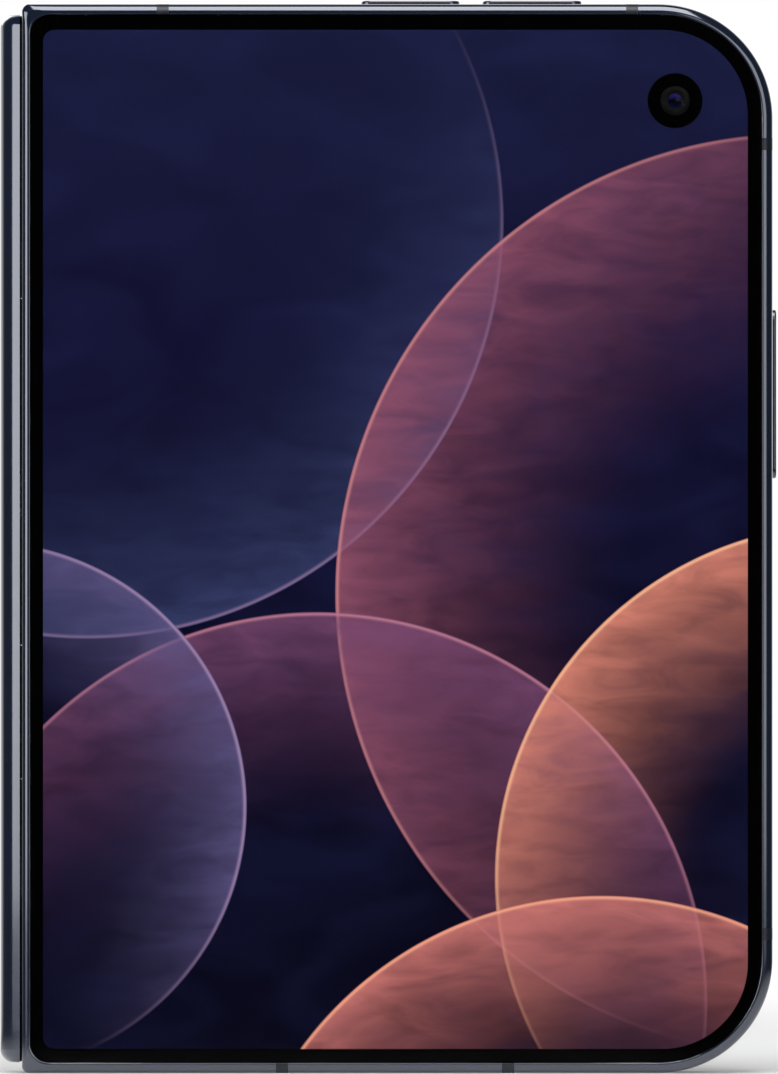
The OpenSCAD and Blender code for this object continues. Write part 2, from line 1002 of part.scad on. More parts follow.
module camera_mask_ring() {
    color("#08080a")
        place()
            difference() {
                slab(panel_d, glass_d)
                    translate(front_cam)
                        circle(front_cam_open_r - 0.04);
                slab(panel_d - 1, glass_d + 1)
                    translate(front_cam)
                        circle(front_cam_r + 0.04);
            }
}

module front_camera() {
    color("#17181b")
        place() {
            block([front_cam[0] - 3.2, front_cam[0] + 3.2], [pocket_d + 0.2, web_d],
                  [front_cam[1] - 3.2, front_cam[1] + 3.2]);
            slab(web_d - 0.2, glass_d - 0.05)
                translate(front_cam)
                    circle(front_cam_r);
        }
}

module earpiece() {
    color("#2a2c30")
        place()
            difference() {
                block([port_x - 6, port_x + 6], [pocket_d + 0.1, web_d],
                      [body_h - frame_wall - 7, body_h - frame_wall - 0.1]);
                block([port_x - 4.5, port_x + 4.5], [mid_d - 0.4, mid_d + 0.4],
                      [body_h - frame_wall - 4, body_h]);
            }
}

module front_battery() {
    color("#2e3238")
        place()
            slab(pocket_d + 0.15, web_d)
                outline(rail_x + 2, half_w - 18.5, 14, body_h - 26, 1.2, 1.2);
}

module front_board() {
    color("#1f4a38")
        place() {
            block([rail_x + 2, half_w - 17], [web_d - 0.8, web_d], [body_h - 23.5, body_h - 9.5]);
            block([rail_x + 5, rail_x + 17], [web_d - 2.2, web_d - 0.7],
                  [body_h - 22, body_h - 11]);
            block([rail_x + 20, rail_x + 34], [web_d - 2.0, web_d - 0.7],
                  [body_h - 22, body_h - 12]);
        }
}

module front_magnets() {
    color("#9aa0a8")
        place()
            for (z = [26, 56])
                block([half_w - 5, half_w - 2.2], [pocket_d + 0.15, web_d], [z, z + 12]);
}

// ---- rear half -----------------------------------------------------------

module island_shape(grow) {
    translate([island_x1 - island_len / 2, island_z])
        slot(island_len + 2 * grow, island_h + 2 * grow);
}

module rear_glass() {
    color("#161d2b")
        place()
            rear()
                difference() {
                    slab(glass_d, out_d)
                        glass_outline();
                    slab(glass_d - 1, out_d + 1)
                        island_shape(0.05);
                }
}

module camera_island() {
    color("#1a2231")
        place()
            rear()
                difference() {
                    slab(glass_d, out_d + island_out)
                        island_shape(0);
                    for (x = [wide_x, ultra_x])
                        translate([x, 0, island_z]) {
                            slab(glass_d - 1, out_d + island_out + 1)
                                circle(lens_r - 0.5);
                            slab(out_d + island_out - 0.4, out_d + island_out + 1)
                                circle(lens_r + 0.03);
                        }
                    slab(glass_d - 1, out_d + island_out + 1)
                        translate([flash_x, island_z])
                            circle(1.2);
                    slab(out_d + island_out - 0.4, out_d + island_out + 1)
                        translate([flash_x, island_z])
                            circle(1.63);
                }
}

module rear_lens_covers() {
    color("#07080c")
        place()
            rear()
                for (x = [wide_x, ultra_x])
                    slab(out_d + island_out - 0.4, out_d + island_out - 0.05)
                        translate([x, island_z])
                            circle(lens_r);
}

// camera module: a square housing and a round barrel
module camera(x, half_box, barrel_r) {
    block([x - half_box, x + half_box], [pocket_d + 0.15, web_d],
          [island_z - half_box, island_z + half_box]);
    slab(web_d - 0.2, out_d + island_out - 0.9)
        translate([x, island_z])
            circle(barrel_r);
    slab(out_d + island_out - 1, out_d + island_out - 0.5)
        translate([x, island_z])
            circle(barrel_r - 1.2);
}

module wide_camera() {
    color("#15161a")
        place()
            rear()
                camera(wide_x, 5.6, lens_r - 0.6);
}

module ultrawide_camera() {
    color("#15161a")
        place()
            rear()
                camera(ultra_x, 5.0, lens_r - 1.0);
}

module flash_lamp() {
    color("#efe7c8")
        place()
            rear() {
                slab(out_d + island_out - 0.4, out_d + island_out - 0.05)
                    translate([flash_x, island_z])
                        circle(1.6);
                slab(web_d, out_d + island_out - 0.3)
                    translate([flash_x, island_z])
                        circle(1.1);
            }
}

module logic_board() {
    color("#1f4a38")
        place()
            rear() {
                block([rail_x + 2, half_w - 36], [web_d - 0.8, web_d], [body_h - 34.5, body_h - 3.8]);
                block([rail_x + 2, half_w - 4], [web_d - 0.8, web_d], [body_h - 34.5, body_h - 22]);
            }
}

module shield_cans() {
    top = [pocket_d + 0.3, web_d - 0.8];
    color("#a9adb2")
        place()
            rear() {
                block([rail_x + 4, rail_x + 20], top, [body_h - 32.5, body_h - 18]);
                block([rail_x + 22, rail_x + 35], top, [body_h - 32.5, body_h - 22]);
                block([rail_x + 42, half_w - 10], top, [body_h - 32.5, body_h - 24]);
                block([rail_x + 4, rail_x + 20], top, [body_h - 16, body_h - 6]);
            }
}

module rear_battery() {
    color("#2e3238")
        place()
            rear()
                slab(pocket_d + 0.15, web_d)
                    outline(rail_x + 2, half_w - 23, 14.5, body_h - 36, 1.2, 1.2);
}

// charging port: a shell with round ends and a thin tongue inside
module charging_port() {
    color("#8b8f96")
        place()
            rear()
                translate([port_x, -mid_d, 0.25]) {
                    difference() {
                        linear_extrude(7.4)
                            slot(port_w, port_h);
                        translate([0, 0, -1])
                            linear_extrude(7.6)
                                slot(port_w - 0.6, port_h - 0.6);
                    }
                    translate([-3.35, -0.35, 1])
                        cube([6.7, 0.7, 6]);
                }
}

module charging_board() {
    color("#1f4a38")
        place()
            rear() {
                block([24, speaker_x - 7.4], [web_d - 0.8, web_d], [7.9, 13]);
                block([port_x - 4.5, port_x + 4.5], [mid_d - 0.6, web_d - 0.7], [7.9, 9.4]);
                block([28, 35], [web_d - 1.9, web_d - 0.7], [9, 12]);
            }
}

module bottom_speaker() {
    color("#202226")
        place()
            rear()
                difference() {
                    block([speaker_x - 6.9, speaker_x + 6.9], [pocket_d + 0.15, web_d],
                          [frame_wall + 0.15, 12.6]);
                    block([speaker_x - 6.2, speaker_x + 6.2], [mid_d - 0.7, mid_d + 0.7],
                          [0, 3.4]);
                }
}

module haptic_motor() {
    color("#7c828a")
        place()
            rear()
                slab(pocket_d + 0.15, web_d)
                    outline(rail_x + 2, rail_x + 10.5, 2.6, 12.4, 0.8, 0.8);
}

module charging_coil() {
    color("#b0713f")
        place()
            rear()
                difference() {
                    slab(panel_d, glass_d - 0.03)
                        translate([port_x, body_h / 2 - 8])
                            circle(20);
                    slab(panel_d - 1, glass_d + 1)
                        translate([port_x, body_h / 2 - 8])
                            circle(9);
                }
}

module card_socket() {
    color("#9fa3a9")
        place()
            rear()
                difference() {
                    block([half_w - frame_wall - 0.2 - tray_reach, half_w - frame_wall - 0.1],
                          [mid_d - 1.1, web_d],
                          [tray_z - tray_len / 2 - 1.2, tray_z + tray_len / 2 + 1.2]);
                    block([0, half_w], [mid_d - 0.75, mid_d + 0.75],
                          [tray_z - tray_len / 2 - 0.05, tray_z + tray_len / 2 + 0.05]);
                }
}

module rear_magnets() {
    color("#9aa0a8")
        place()
            rear()
                for (z = [24, 53])
                    block([half_w - 5, half_w - 2.2], [pocket_d + 0.15, web_d], [z, z + 9]);
}

// strips with a dome switch under each button
module button_switches() {
    top_z = body_h - frame_wall - 2.2;
    side_x = half_w - frame_wall - 2.2;
    color("#b98f4a")
        place()
            rear() {
                block([36, 65], [mid_d - 1, web_d], [top_z, top_z + 0.6]);
                for (x = [volume_up_x, volume_down_x])
                    translate([x, -mid_d, top_z + 0.5])
                        cylinder(h = 0.45, r1 = 0.95, r2 = 0.7);
                block([side_x, side_x + 0.6], [mid_d - 1, web_d],
                      [side_button_z - 9.5, side_button_z + 9.5]);
                translate([side_x + 0.5, -mid_d, side_button_z])
                    rotate([0, 90, 0])
                        cylinder(h = 0.45, r1 = 0.95, r2 = 0.7);
            }
}

// ---- buttons and tray ----------------------------------------------------

// button with a flange behind the frame wall and a small plunger
module edge_button(len) {
    flange_z = -frame_wall - 0.1 - 0.7;
    translate([0, 0, flange_z + 0.1])
        linear_extrude(button_out - flange_z - 0.1)
            slot(len, button_w);
    translate([0, 0, flange_z])
        linear_extrude(0.7)
            slot(len + 1.4, button_w + 0.2);
    translate([0, 0, flange_z - 0.1])
        cylinder(h = 0.4, r = 0.6);
}

module volume_up_button() {
    color("#26303f")
        place()
            rear()
                at_top_edge(volume_up_x)
                    edge_button(volume_up_len);
}

module volume_down_button() {
    color("#26303f")
        place()
            rear()
                at_top_edge(volume_down_x)
                    edge_button(volume_down_len);
}

module side_button() {
    color("#26303f")
        place()
            rear()
                at_outer_edge(side_button_z)
                    edge_button(side_button_len);
}

// tray: a head flush with the edge and a flat frame for one card
module card_tray() {
    half_len = tray_len / 2;
    color("#4a5464")
        place()
            rear() {
                at_outer_edge(tray_z)
                    translate([0, 0, -frame_wall])
                        linear_extrude(frame_wall)
                            slot(tray_len - 2 * tray_clear, 1.8 - 2 * tray_clear);
                difference() {
                    block([half_w - frame_wall - tray_reach, half_w - frame_wall + 0.3],
                          [mid_d - 0.5, mid_d + 0.5],
                          [tray_z - half_len + 0.6, tray_z + half_len - 0.6]);
                    block([half_w - frame_wall - 14.2, half_w - frame_wall - 1.6],
                          [mid_d - 0.6, mid_d + 0.2],
                          [tray_z - 4.5, tray_z + 4.5]);
                }
            }
}

// ---- drawing -------------------------------------------------------------

spine_cover();
spine_end_caps();
hinge_brackets();
sync_bracket();
friction_plate();
torque_springs();
bracket_screws();
fold_support_bar();
inner_display_fold();
front_sync_shaft();
front_sync_arm();
rear_sync_shaft();
rear_sync_arm();
front_idler_gear();
rear_idler_gear();
front_frame();
cover_glass();
cover_display();
camera_mask_ring();
front_camera();
earpiece();
front_battery();
front_board();
front_inner_plate();
inner_display_front();
front_inner_bezel();
front_antenna_breaks();
front_swing_arms();
front_arm_screws();
front_magnets();
rear_frame();
rear_glass();
camera_island();
rear_lens_covers();
wide_camera();
ultrawide_camera();
flash_lamp();
logic_board();
shield_cans();
rear_battery();
charging_port();
charging_board();
bottom_speaker();
haptic_motor();
charging_coil();
card_socket();
rear_inner_plate();
inner_display_rear();
rear_inner_bezel();
rear_antenna_breaks();
rear_swing_arms();
rear_arm_screws();
rear_magnets();
button_switches();
volume_up_button();
volume_down_button();
side_button();
card_tray();
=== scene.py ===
import math

import bmesh
import bpy
import numpy as np
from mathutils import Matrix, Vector


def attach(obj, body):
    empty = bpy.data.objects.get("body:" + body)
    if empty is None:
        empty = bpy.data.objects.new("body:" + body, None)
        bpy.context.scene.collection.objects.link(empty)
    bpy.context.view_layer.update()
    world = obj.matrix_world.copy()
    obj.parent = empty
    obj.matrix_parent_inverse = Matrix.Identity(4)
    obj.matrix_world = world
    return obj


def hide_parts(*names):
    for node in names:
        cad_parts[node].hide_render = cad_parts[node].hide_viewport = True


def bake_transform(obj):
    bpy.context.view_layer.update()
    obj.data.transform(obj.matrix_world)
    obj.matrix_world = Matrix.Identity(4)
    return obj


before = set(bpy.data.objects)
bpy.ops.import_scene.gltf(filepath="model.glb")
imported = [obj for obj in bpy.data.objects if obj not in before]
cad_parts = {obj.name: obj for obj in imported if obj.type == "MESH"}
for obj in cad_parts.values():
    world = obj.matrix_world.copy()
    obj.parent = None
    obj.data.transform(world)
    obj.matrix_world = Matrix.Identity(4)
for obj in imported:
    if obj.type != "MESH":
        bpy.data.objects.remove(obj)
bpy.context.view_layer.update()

MM = 0.001

# ----- measures of the phone, in millimetres
# x runs from the hinge edge of the halves, d is the depth from the plane where they meet, z is the height
HINGE_EDGE_X, MEETING_Y = -41.37, -1.0
HALF_W, BODY_H = 84.7, 120.6
OUTER_CORNER_R, HINGE_CORNER_R = 12.9, 0.8
FACE_D, GLASS_D, WEB_D = 5.6, 5.15, 4.55  # depth of the outer face, the glass's seat and the frame's web
IN_D, SHEET_D, SHEET_T = 0.1, 0.35, 0.4  # depth of the inner border and the inner display, the display's thickness
FRAME_WALL, SPINE_INSET = 1.2, 1.15
# the CAD's outer bevel, the depth of the polished rim, and how far the frame's core stays under that rim's skin:
# below the face, in from the outline at the hinge lip and elsewhere, and at least along x and z in the corners
CAD_BEVEL, RIM_DEPTH, UNDER_SKIN = 0.35, 1.0, 0.25
LIP_PULL, RIM_PULL, CORNER_PULL_X, CORNER_PULL_Z = 0.84, 1.02, 0.82, 0.98
HINGE_STEPS, OUTER_STEPS, TURN_STEPS = 12, 48, 96  # points in each round corner of a loop, and round a turned part
# outlines of loops: left, right, foot, top, radius of the hinge corners, radius of the outer corners
HALF = (0, HALF_W, 0, BODY_H, HINGE_CORNER_R, OUTER_CORNER_R)
RIM_TOP = (0.86, 83.58, 1.07, 119.53, 2.36, 11.75)
SEAT = (0.9, 83.53, 1.12, 119.48, 2.33, 11.7)
PICTURE = (2.4, 81.9, 2.73, 117.7, 1.35, 9.7)
GLASS = (0.94, 83.49, 1.16, 119.44, 2.3, 11.66)
BREAK_W = 1.35  # width of the antenna breaks, and then their places
TOP_BREAKS, SIDE_BREAKS, BOTTOM_BREAKS = (15.9, 68.85), (15.7, 104.8), (29.35, 54.85)
MID_D = 2.855  # depth of the charging port's middle
HINGE_AXIS = (0.9, 1.0)
FOLD_P0, FOLD_P1, FOLD_END = 0.6, 3.25, 5.0  # ends of the fold's blend along a slanting line, its end along x
FRONT, REAR = -1.0, 1.0
SIDES = ((FRONT, "front"), (REAR, "rear"))
FRONT_CAMERA = (73.7, 109.7)
BUTTON_OUT = 0.54
ISLAND_Z, WIDE_X, ULTRAWIDE_X, FLASH_X, ISLAND_D = 105.5, 70.5, 55.9, 46.0, 7.6
COIL_PLACE = (42.35, 52.3)


# ----- shapes
def to_row(x, d, z, side):
    """Points of one half in the row frame, in metres: y is the meeting plane plus the depth, towards the side."""
    x, d, z = np.broadcast_arrays(x, d, z)
    return np.stack([x + HINGE_EDGE_X, d * side + MEETING_Y, z], -1) * MM


def from_row(points, side):
    """The reverse of to_row: x, depth and height in millimetres for points in metres."""
    p = points / MM
    return p[:, 0] - HINGE_EDGE_X, (p[:, 1] - MEETING_Y) * side, p[:, 2]


def piece(name, points, faces, finish, smooth_below=38.0):
    """A closed shell from points and faces, its doubles merged and its faces turned outwards."""
    mesh = bpy.data.meshes.new(name)
    mesh.from_pydata(points.reshape(-1, 3).tolist(), [], faces)
    shell = bmesh.new()
    shell.from_mesh(mesh)
    bmesh.ops.remove_doubles(shell, verts=shell.verts, dist=1e-8)
    bmesh.ops.recalc_face_normals(shell, faces=shell.faces)
    shell.to_mesh(mesh)
    shell.free()
    return stand(name, mesh, finish, smooth_below)


def placed(name, data):
    """A new object at the origin."""
    made = bpy.data.objects.new(name, data)
    bpy.context.scene.collection.objects.link(made)
    return made


def stand(name, mesh, finish, smooth_below=38.0):
    """An object at the origin for a finished mesh, shaded smooth where its faces meet flatter than an angle."""
    mesh.polygons.foreach_set("use_smooth", np.ones(len(mesh.polygons), bool))
    mesh.set_sharp_from_angle(angle=math.radians(smooth_below))
    mesh.materials.clear()
    mesh.materials.append(finish)
    made = placed(name, mesh)
    steady = made.modifiers.new("steady_normals", "WEIGHTED_NORMAL")
    steady.keep_sharp = True
    return made


def grid_faces(rows, columns, round_rows=False, round_columns=True):
    """Four-cornered faces between neighbouring points of a grid, closed round either way."""
    r = np.arange(rows if round_rows else rows - 1)
    c = np.arange(columns if round_columns else columns - 1)
    rr, cc = np.meshgrid(r, c, indexing="ij")
    r1, c1 = (rr + 1) % rows, (cc + 1) % columns
    quads = np.stack([rr * columns + cc, rr * columns + c1, r1 * columns + c1, r1 * columns + cc], -1)
    return quads.reshape(-1, 4).tolist()


def capped_faces(rows, columns, start=0):
    """Faces of a tube from a point number on: its grid, closed round the columns, and one flat face at each end."""
    last = start + (rows - 1) * columns
    return (np.array(grid_faces(rows, columns)) + start).tolist() + [
        list(range(start, start + columns)), list(range(last, last + columns))]


def belongs(made, slot, body, *nodes):
    """Gives a piece its body and hides the CAD nodes that it stands for. slot is not used."""
    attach(made, body)
    if nodes:
        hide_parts(*nodes)


def inset_loop(outline, inset, stops=((), (), (), ())):
    """Points of a rectangle drawn in by an inset, whose corners are arcs: each corner is its centre plus the radius
    times the cosine and sine of an angle that runs a quarter turn. stops are further places on the bottom, the
    right, the top and the left side."""
    x0, x1, z0, z1, hinge_r, outer_r = outline
    x0, x1, z0, z1 = x0 + inset, x1 - inset, z0 + inset, z1 - inset
    hinge_r, outer_r = max(hinge_r - inset, 0.01), max(outer_r - inset, 0.01)

    def corner(cx, cz, radius, start, steps):
        a = np.radians(start) + np.linspace(0, math.pi / 2, steps)
        return np.stack([cx + radius * np.cos(a), cz + radius * np.sin(a)], -1)

    def straight(places, level, along_x):
        level = np.full(len(places), float(level))
        return np.stack([places, level] if along_x else [level, places], -1)

    bottom, right, top, left = stops
    return np.concatenate([
        corner(x0 + hinge_r, z0 + hinge_r, hinge_r, 180, HINGE_STEPS), straight(bottom, z0, True),
        corner(x1 - outer_r, z0 + outer_r, outer_r, 270, OUTER_STEPS), straight(right, x1, False),
        corner(x1 - outer_r, z1 - outer_r, outer_r, 0, OUTER_STEPS), straight(top, z1, True),
        corner(x0 + hinge_r, z1 - hinge_r, hinge_r, 90, HINGE_STEPS), straight(left, x0, False)])


def layers(rows, side):
    """Points of a grid whose rows are loops, each at its depth."""
    return np.stack([to_row(l[:, 0], d, l[:, 1], side) for l, d in rows])


def quarter(radius, steps):
    """Inset and drop along a quarter arc: radius minus radius times the cosine and sine of the angle."""
    a = np.linspace(0, math.pi / 2, steps)
    return radius * (1 - np.cos(a)), radius * (1 - np.sin(a))


def turned(name, profile, centre, side, finish):
    """A turned part: a profile of radius and depth goes once round an axis through a point of the face, so a point
    is the centre plus the radius times the cosine and sine of the turn. Its ends lie on the axis."""
    a = np.linspace(0, 2 * math.pi, TURN_STEPS, endpoint=False)
    r, d = np.split(np.asarray(profile, float), 2, axis=1)
    points = to_row(centre[0] + r * np.cos(a), d, centre[1] + r * np.sin(a), side)
    return piece(name, points, grid_faces(len(r), len(a)), finish)


def arc_profile(centre_r, centre_d, radius, steps):
    """Points of a quarter arc in radius and depth, from the outward direction to the face's."""
    a = np.radians(np.linspace(0, 90, steps))
    return np.stack([centre_r + radius * np.cos(a), centre_d + radius * np.sin(a)], -1)


def domed_lens(name, centre, foot, top, radius, rise, side, finish, steps=16):
    """A lens with a flat foot and a domed front, an arc of the ball through its rim that rises by a height: the
    ball's radius is the square of the lens radius plus that of the rise, over twice the rise."""
    ball = (radius ** 2 + rise ** 2) / (2 * rise)
    a = np.linspace(math.asin(radius / ball), 0, steps)
    dome = np.stack([ball * np.sin(a), top - ball + ball * np.cos(a)], -1)
    return turned(name, np.concatenate([[[0, foot], [radius, foot]], dome]), centre, side, finish)


def rounded_square(half_x, half_z, power, steps=64):
    """Points of a square with soft corners: the cosine and the sine of an angle, each raised to a small power."""
    a = np.linspace(0, 2 * math.pi, steps, endpoint=False)
    return (half_x * np.sign(np.cos(a)) * np.abs(np.cos(a)) ** power,
            half_z * np.sign(np.sin(a)) * np.abs(np.sin(a)) ** power)


def housing(name, centre, half_size, d0, d1, side, finish):
    """A camera housing: a soft-cornered square carried up a depth, a little smaller at both ends."""
    x, z = rounded_square(1, 1, 0.2)
    edge = 0.15
    size = half_size - np.array([[edge], [0], [0], [edge]])
    d = np.array([[d0], [d0 + edge], [d1 - edge], [d1]])
    points = to_row(centre[0] + size * x, d, centre[1] + size * z, side)
    return piece(name, points, capped_faces(4, len(x)), finish)


def rim_inset(x, z):
    """How far points lie inside the outline of a half, and the outward direction there: radial in the corners,
    square to the nearest edge elsewhere."""
    gaps = np.stack([x, HALF_W - x, z, BODY_H - z])
    nearest = gaps.argmin(0)
    inset = gaps.min(0)
    out = np.array([[-1, 0], [1, 0], [0, -1], [0, 1]], float)[nearest]
    for cx, r, right in ((HINGE_CORNER_R, HINGE_CORNER_R, False), (HALF_W - OUTER_CORNER_R, OUTER_CORNER_R, True)):
        for cz, top in ((r, False), (BODY_H - r, True)):
            here = ((x > cx) if right else (x < cx)) & ((z > cz) if top else (z < cz))
            v = np.stack([x - cx, z - cz], -1)
            length = np.maximum(np.linalg.norm(v, axis=1), 1e-9)
            inset = np.where(here, r - length, inset)
            out = np.where(here[:, None], v / length[:, None], out)
    return inset, out


def values(elements, key, width, kind=np.float32):
    """One property of all elements of a mesh as an array."""
    out = np.empty(len(elements) * width, kind)
    elements.foreach_get(key, out)
    return out.reshape(-1, width)


def merged_copy(node, name):
    """A copy of a CAD node's mesh with its loose triangles joined and its flat faces made whole."""
    shell = bmesh.new()
    shell.from_mesh(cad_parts[node].data)
    bmesh.ops.remove_doubles(shell, verts=shell.verts, dist=1e-6)
    bmesh.ops.dissolve_limit(shell, angle_limit=math.radians(0.3), verts=shell.verts, edges=shell.edges)
    mesh = bpy.data.meshes.new(name)
    shell.to_mesh(mesh)
    shell.free()
    return mesh


def bends(mesh):
    """Angle between the faces at every edge: the faces' corners are sorted by edge, and the first and the last
    corner of an edge belong to the two faces that meet there."""
    sides = values(mesh.polygons, "loop_total", 1, np.int32)[:, 0]
    edge = values(mesh.loops, "edge_index", 1, np.int32)[:, 0]
    order = np.argsort(edge, kind="stable")
    normals = values(mesh.polygons, "normal", 3)[np.repeat(np.arange(len(sides)), sides)[order]]
    every = np.arange(len(mesh.edges))
    first, last = (np.searchsorted(edge[order], every, side) for side in ("left", "right"))
    return np.arccos(np.clip((normals[first] * normals[last - 1]).sum(1), -1, 1))


def round_edges(mesh, side, chosen, width, segments):
    """Turns the chosen edges into arcs. chosen is told x, depth and height of both ends of every edge."""
    x, d, z = from_row(values(mesh.vertices, "co", 3), side)
    ends = values(mesh.edges, "vertices", 2, np.int32)
    picked = (bends(mesh) > math.radians(25)) & chosen(x[ends], d[ends], z[ends])
    shell = bmesh.new()
    shell.from_mesh(mesh)
    shell.edges.ensure_lookup_table()
    bmesh.ops.bevel(shell, geom=[shell.edges[i] for i in np.nonzero(picked)[0]], offset=width * MM,
                    offset_type="OFFSET", segments=segments, profile=0.5, affect="EDGES", clamp_overlap=False)
    shell.to_mesh(mesh)
    shell.free()


def near(a, b):
    """True where both ends lie at a value, give or take a hundredth of a millimetre."""
    return (np.abs(a - b) < 0.01).all(1)


def rim_core(node, name, side, finish):
    """A frame piece with its outer bevel drawn far in, so that it stays under the polished rim skin: the top edge
    goes in to the seat of the glass and a little down, and the foot of the bevel goes down the wall."""
    mesh = merged_copy(node, name)
    x, d, z = from_row(values(mesh.vertices, "co", 3), side)
    inset, out = rim_inset(x, z)
    foot = FACE_D - RIM_DEPTH - 0.02
    share = np.clip((d - FACE_D + CAD_BEVEL) / CAD_BEVEL, 0, 1)
    bevel = (d > FACE_D - CAD_BEVEL - 0.01) & (np.abs(inset - share * CAD_BEVEL) < 0.03)
    pull = (np.where(x < HINGE_CORNER_R, LIP_PULL, RIM_PULL) - CAD_BEVEL) * share
    x_in = np.maximum(x - out[:, 0] * pull, CORNER_PULL_X * share)
    z_in = np.clip(z - out[:, 1] * pull, CORNER_PULL_Z * share, BODY_H - CORNER_PULL_Z * share)
    x, z = np.where(bevel, x_in, x), np.where(bevel, z_in, z)
    d = np.where(bevel, foot + share * (FACE_D - UNDER_SKIN - foot), np.where(d > FACE_D - 0.01, d - UNDER_SKIN, d))
    mesh.vertices.foreach_set("co", to_row(x, d, z, side).astype(np.float32).ravel())
    shell = bmesh.new()
    shell.from_mesh(mesh)
    bmesh.ops.triangulate(shell, faces=[f for f in shell.faces if len(f.verts) > 4])
    shell.to_mesh(mesh)
    shell.free()

    def on_outline(x, z):
        return (np.abs(rim_inset(x.ravel(), z.ravel())[0].reshape(x.shape)) < 0.01).all(1)

    round_edges(mesh, side, lambda x, d, z: near(d, IN_D) & on_outline(x, z), 0.15, 3)
    return stand(name, mesh, finish)


def rim_skin(side, half):
    """The polished outside of a rim. Its section goes up a quarter arc from the wall to the face, across to the
    seat of the glass and back underneath, and is carried round the half; it is parted at the antenna strips."""
    edge = BREAK_W / 2
    both = [[p for c in places for p in (c - edge, c - edge + 0.03, c + edge - 0.03, c + edge)]
            for places in (BOTTOM_BREAKS, SIDE_BREAKS, TOP_BREAKS)]
    stops = ([4.0] + both[0], both[1], both[2][::-1] + [4.0], [116.0, 4.6])
    share, drop = quarter(1.0, 14)
    wall, top = inset_loop(HALF, 0, stops), inset_loop(RIM_TOP, 0, stops)
    seat = inset_loop(SEAT, 0, stops)
    rows = [(wall * (1 - t) + top * t, FACE_D - RIM_DEPTH * d) for t, d in zip(share, drop)]
    rows += [(seat, FACE_D - 0.03), (seat, FACE_D - 0.3), (inset_loop(HALF, 0.5, stops), FACE_D - 0.75),
             (inset_loop(HALF, 0.05, stops), FACE_D - RIM_DEPTH)]
    points = layers(rows, side)
    outer = rows[0][0]
    cuts = [int(np.abs(outer - place).sum(1).argmin()) for place in
            [(x, 0) for x in both[0]] + [(HALF_W, z) for z in both[1]] + [(x, BODY_H) for x in both[2][::-1]]]
    count = len(outer)
    strips = [np.arange(a, b + 1) for a, b in zip(cuts[1::4], cuts[2::4])]
    metals = [np.arange(a, b + 1) % count for a, b in zip(cuts[3::4], cuts[4::4] + [cuts[0] + count])]
    for name, runs, finish, slot in (("_rim_skin", metals, rim_metal, "dark_frame_metal"),
                                     ("_strip_skin", strips, break_plastic, "break_plastic")):
        made_points, faces, start = [], [], 0
        for run in runs:
            part = points[:, run]
            n, m = part.shape[:2]
            made_points.append(part.reshape(-1, 3))
            quads = np.array(grid_faces(n, m, round_rows=True, round_columns=False)) + start
            faces += quads.tolist() + [(start + np.arange(n) * m).tolist(), (start + np.arange(n) * m + m - 1).tolist()]
            start += n * m
        made = piece(half + name, np.concatenate(made_points), faces, finish, 50)
        belongs(made, slot, half + "_half")


# ----- finishes
class Nodes:
    """A node tree that grows by short calls. What goes into a socket is a value or another node's output."""

    def __init__(self, tree):
        self.tree = tree

    def put(self, socket, value):
        if isinstance(value, bpy.types.NodeSocket):
            self.tree.links.new(value, socket)
        elif socket.type == "RGBA" and len(value) == 3:
            socket.default_value = (*value, 1.0)
        else:
            socket.default_value = value

    def add(self, kind, inputs=None, **settings):
        made = self.tree.nodes.new("ShaderNode" + kind)
        for key, value in settings.items():
            setattr(made, key, value)
        for key, value in (inputs or {}).items():
            self.put(made.inputs[key], value)
        return made

    def sum(self, operation, a, b=0.0, c=0.0):
        return self.add("Math", {0: a, 1: b, 2: c}, operation=operation).outputs[0]

    def vector(self, operation, a, b=(0, 0, 0)):
        made = self.add("VectorMath", {0: a, 1: b}, operation=operation)
        return made.outputs["Value" if operation in ("LENGTH", "DOT_PRODUCT") else 0]

    def range(self, value, from_min, from_max, to_min=0.0, to_max=1.0, smooth=False):
        return self.add("MapRange", {"Value": value, "From Min": from_min, "From Max": from_max,
                                     "To Min": to_min, "To Max": to_max},
                        interpolation_type="SMOOTHSTEP" if smooth else "LINEAR").outputs[0]

    def colours(self, value, *stops):
        made = self.add("ValToRGB", {"Fac": value})
        ramp = made.color_ramp
        while len(ramp.elements) < len(stops):
            ramp.elements.new(0.5)
        for element, (place, colour) in zip(ramp.elements, stops):
            element.position, element.color = place, (*colour, 1.0)
        return made.outputs[0]

    def mix(self, share, a, b, blend="MIX"):
        return self.add("Mix", {0: share, 6: a, 7: b}, data_type="RGBA", blend_type=blend).outputs[2]


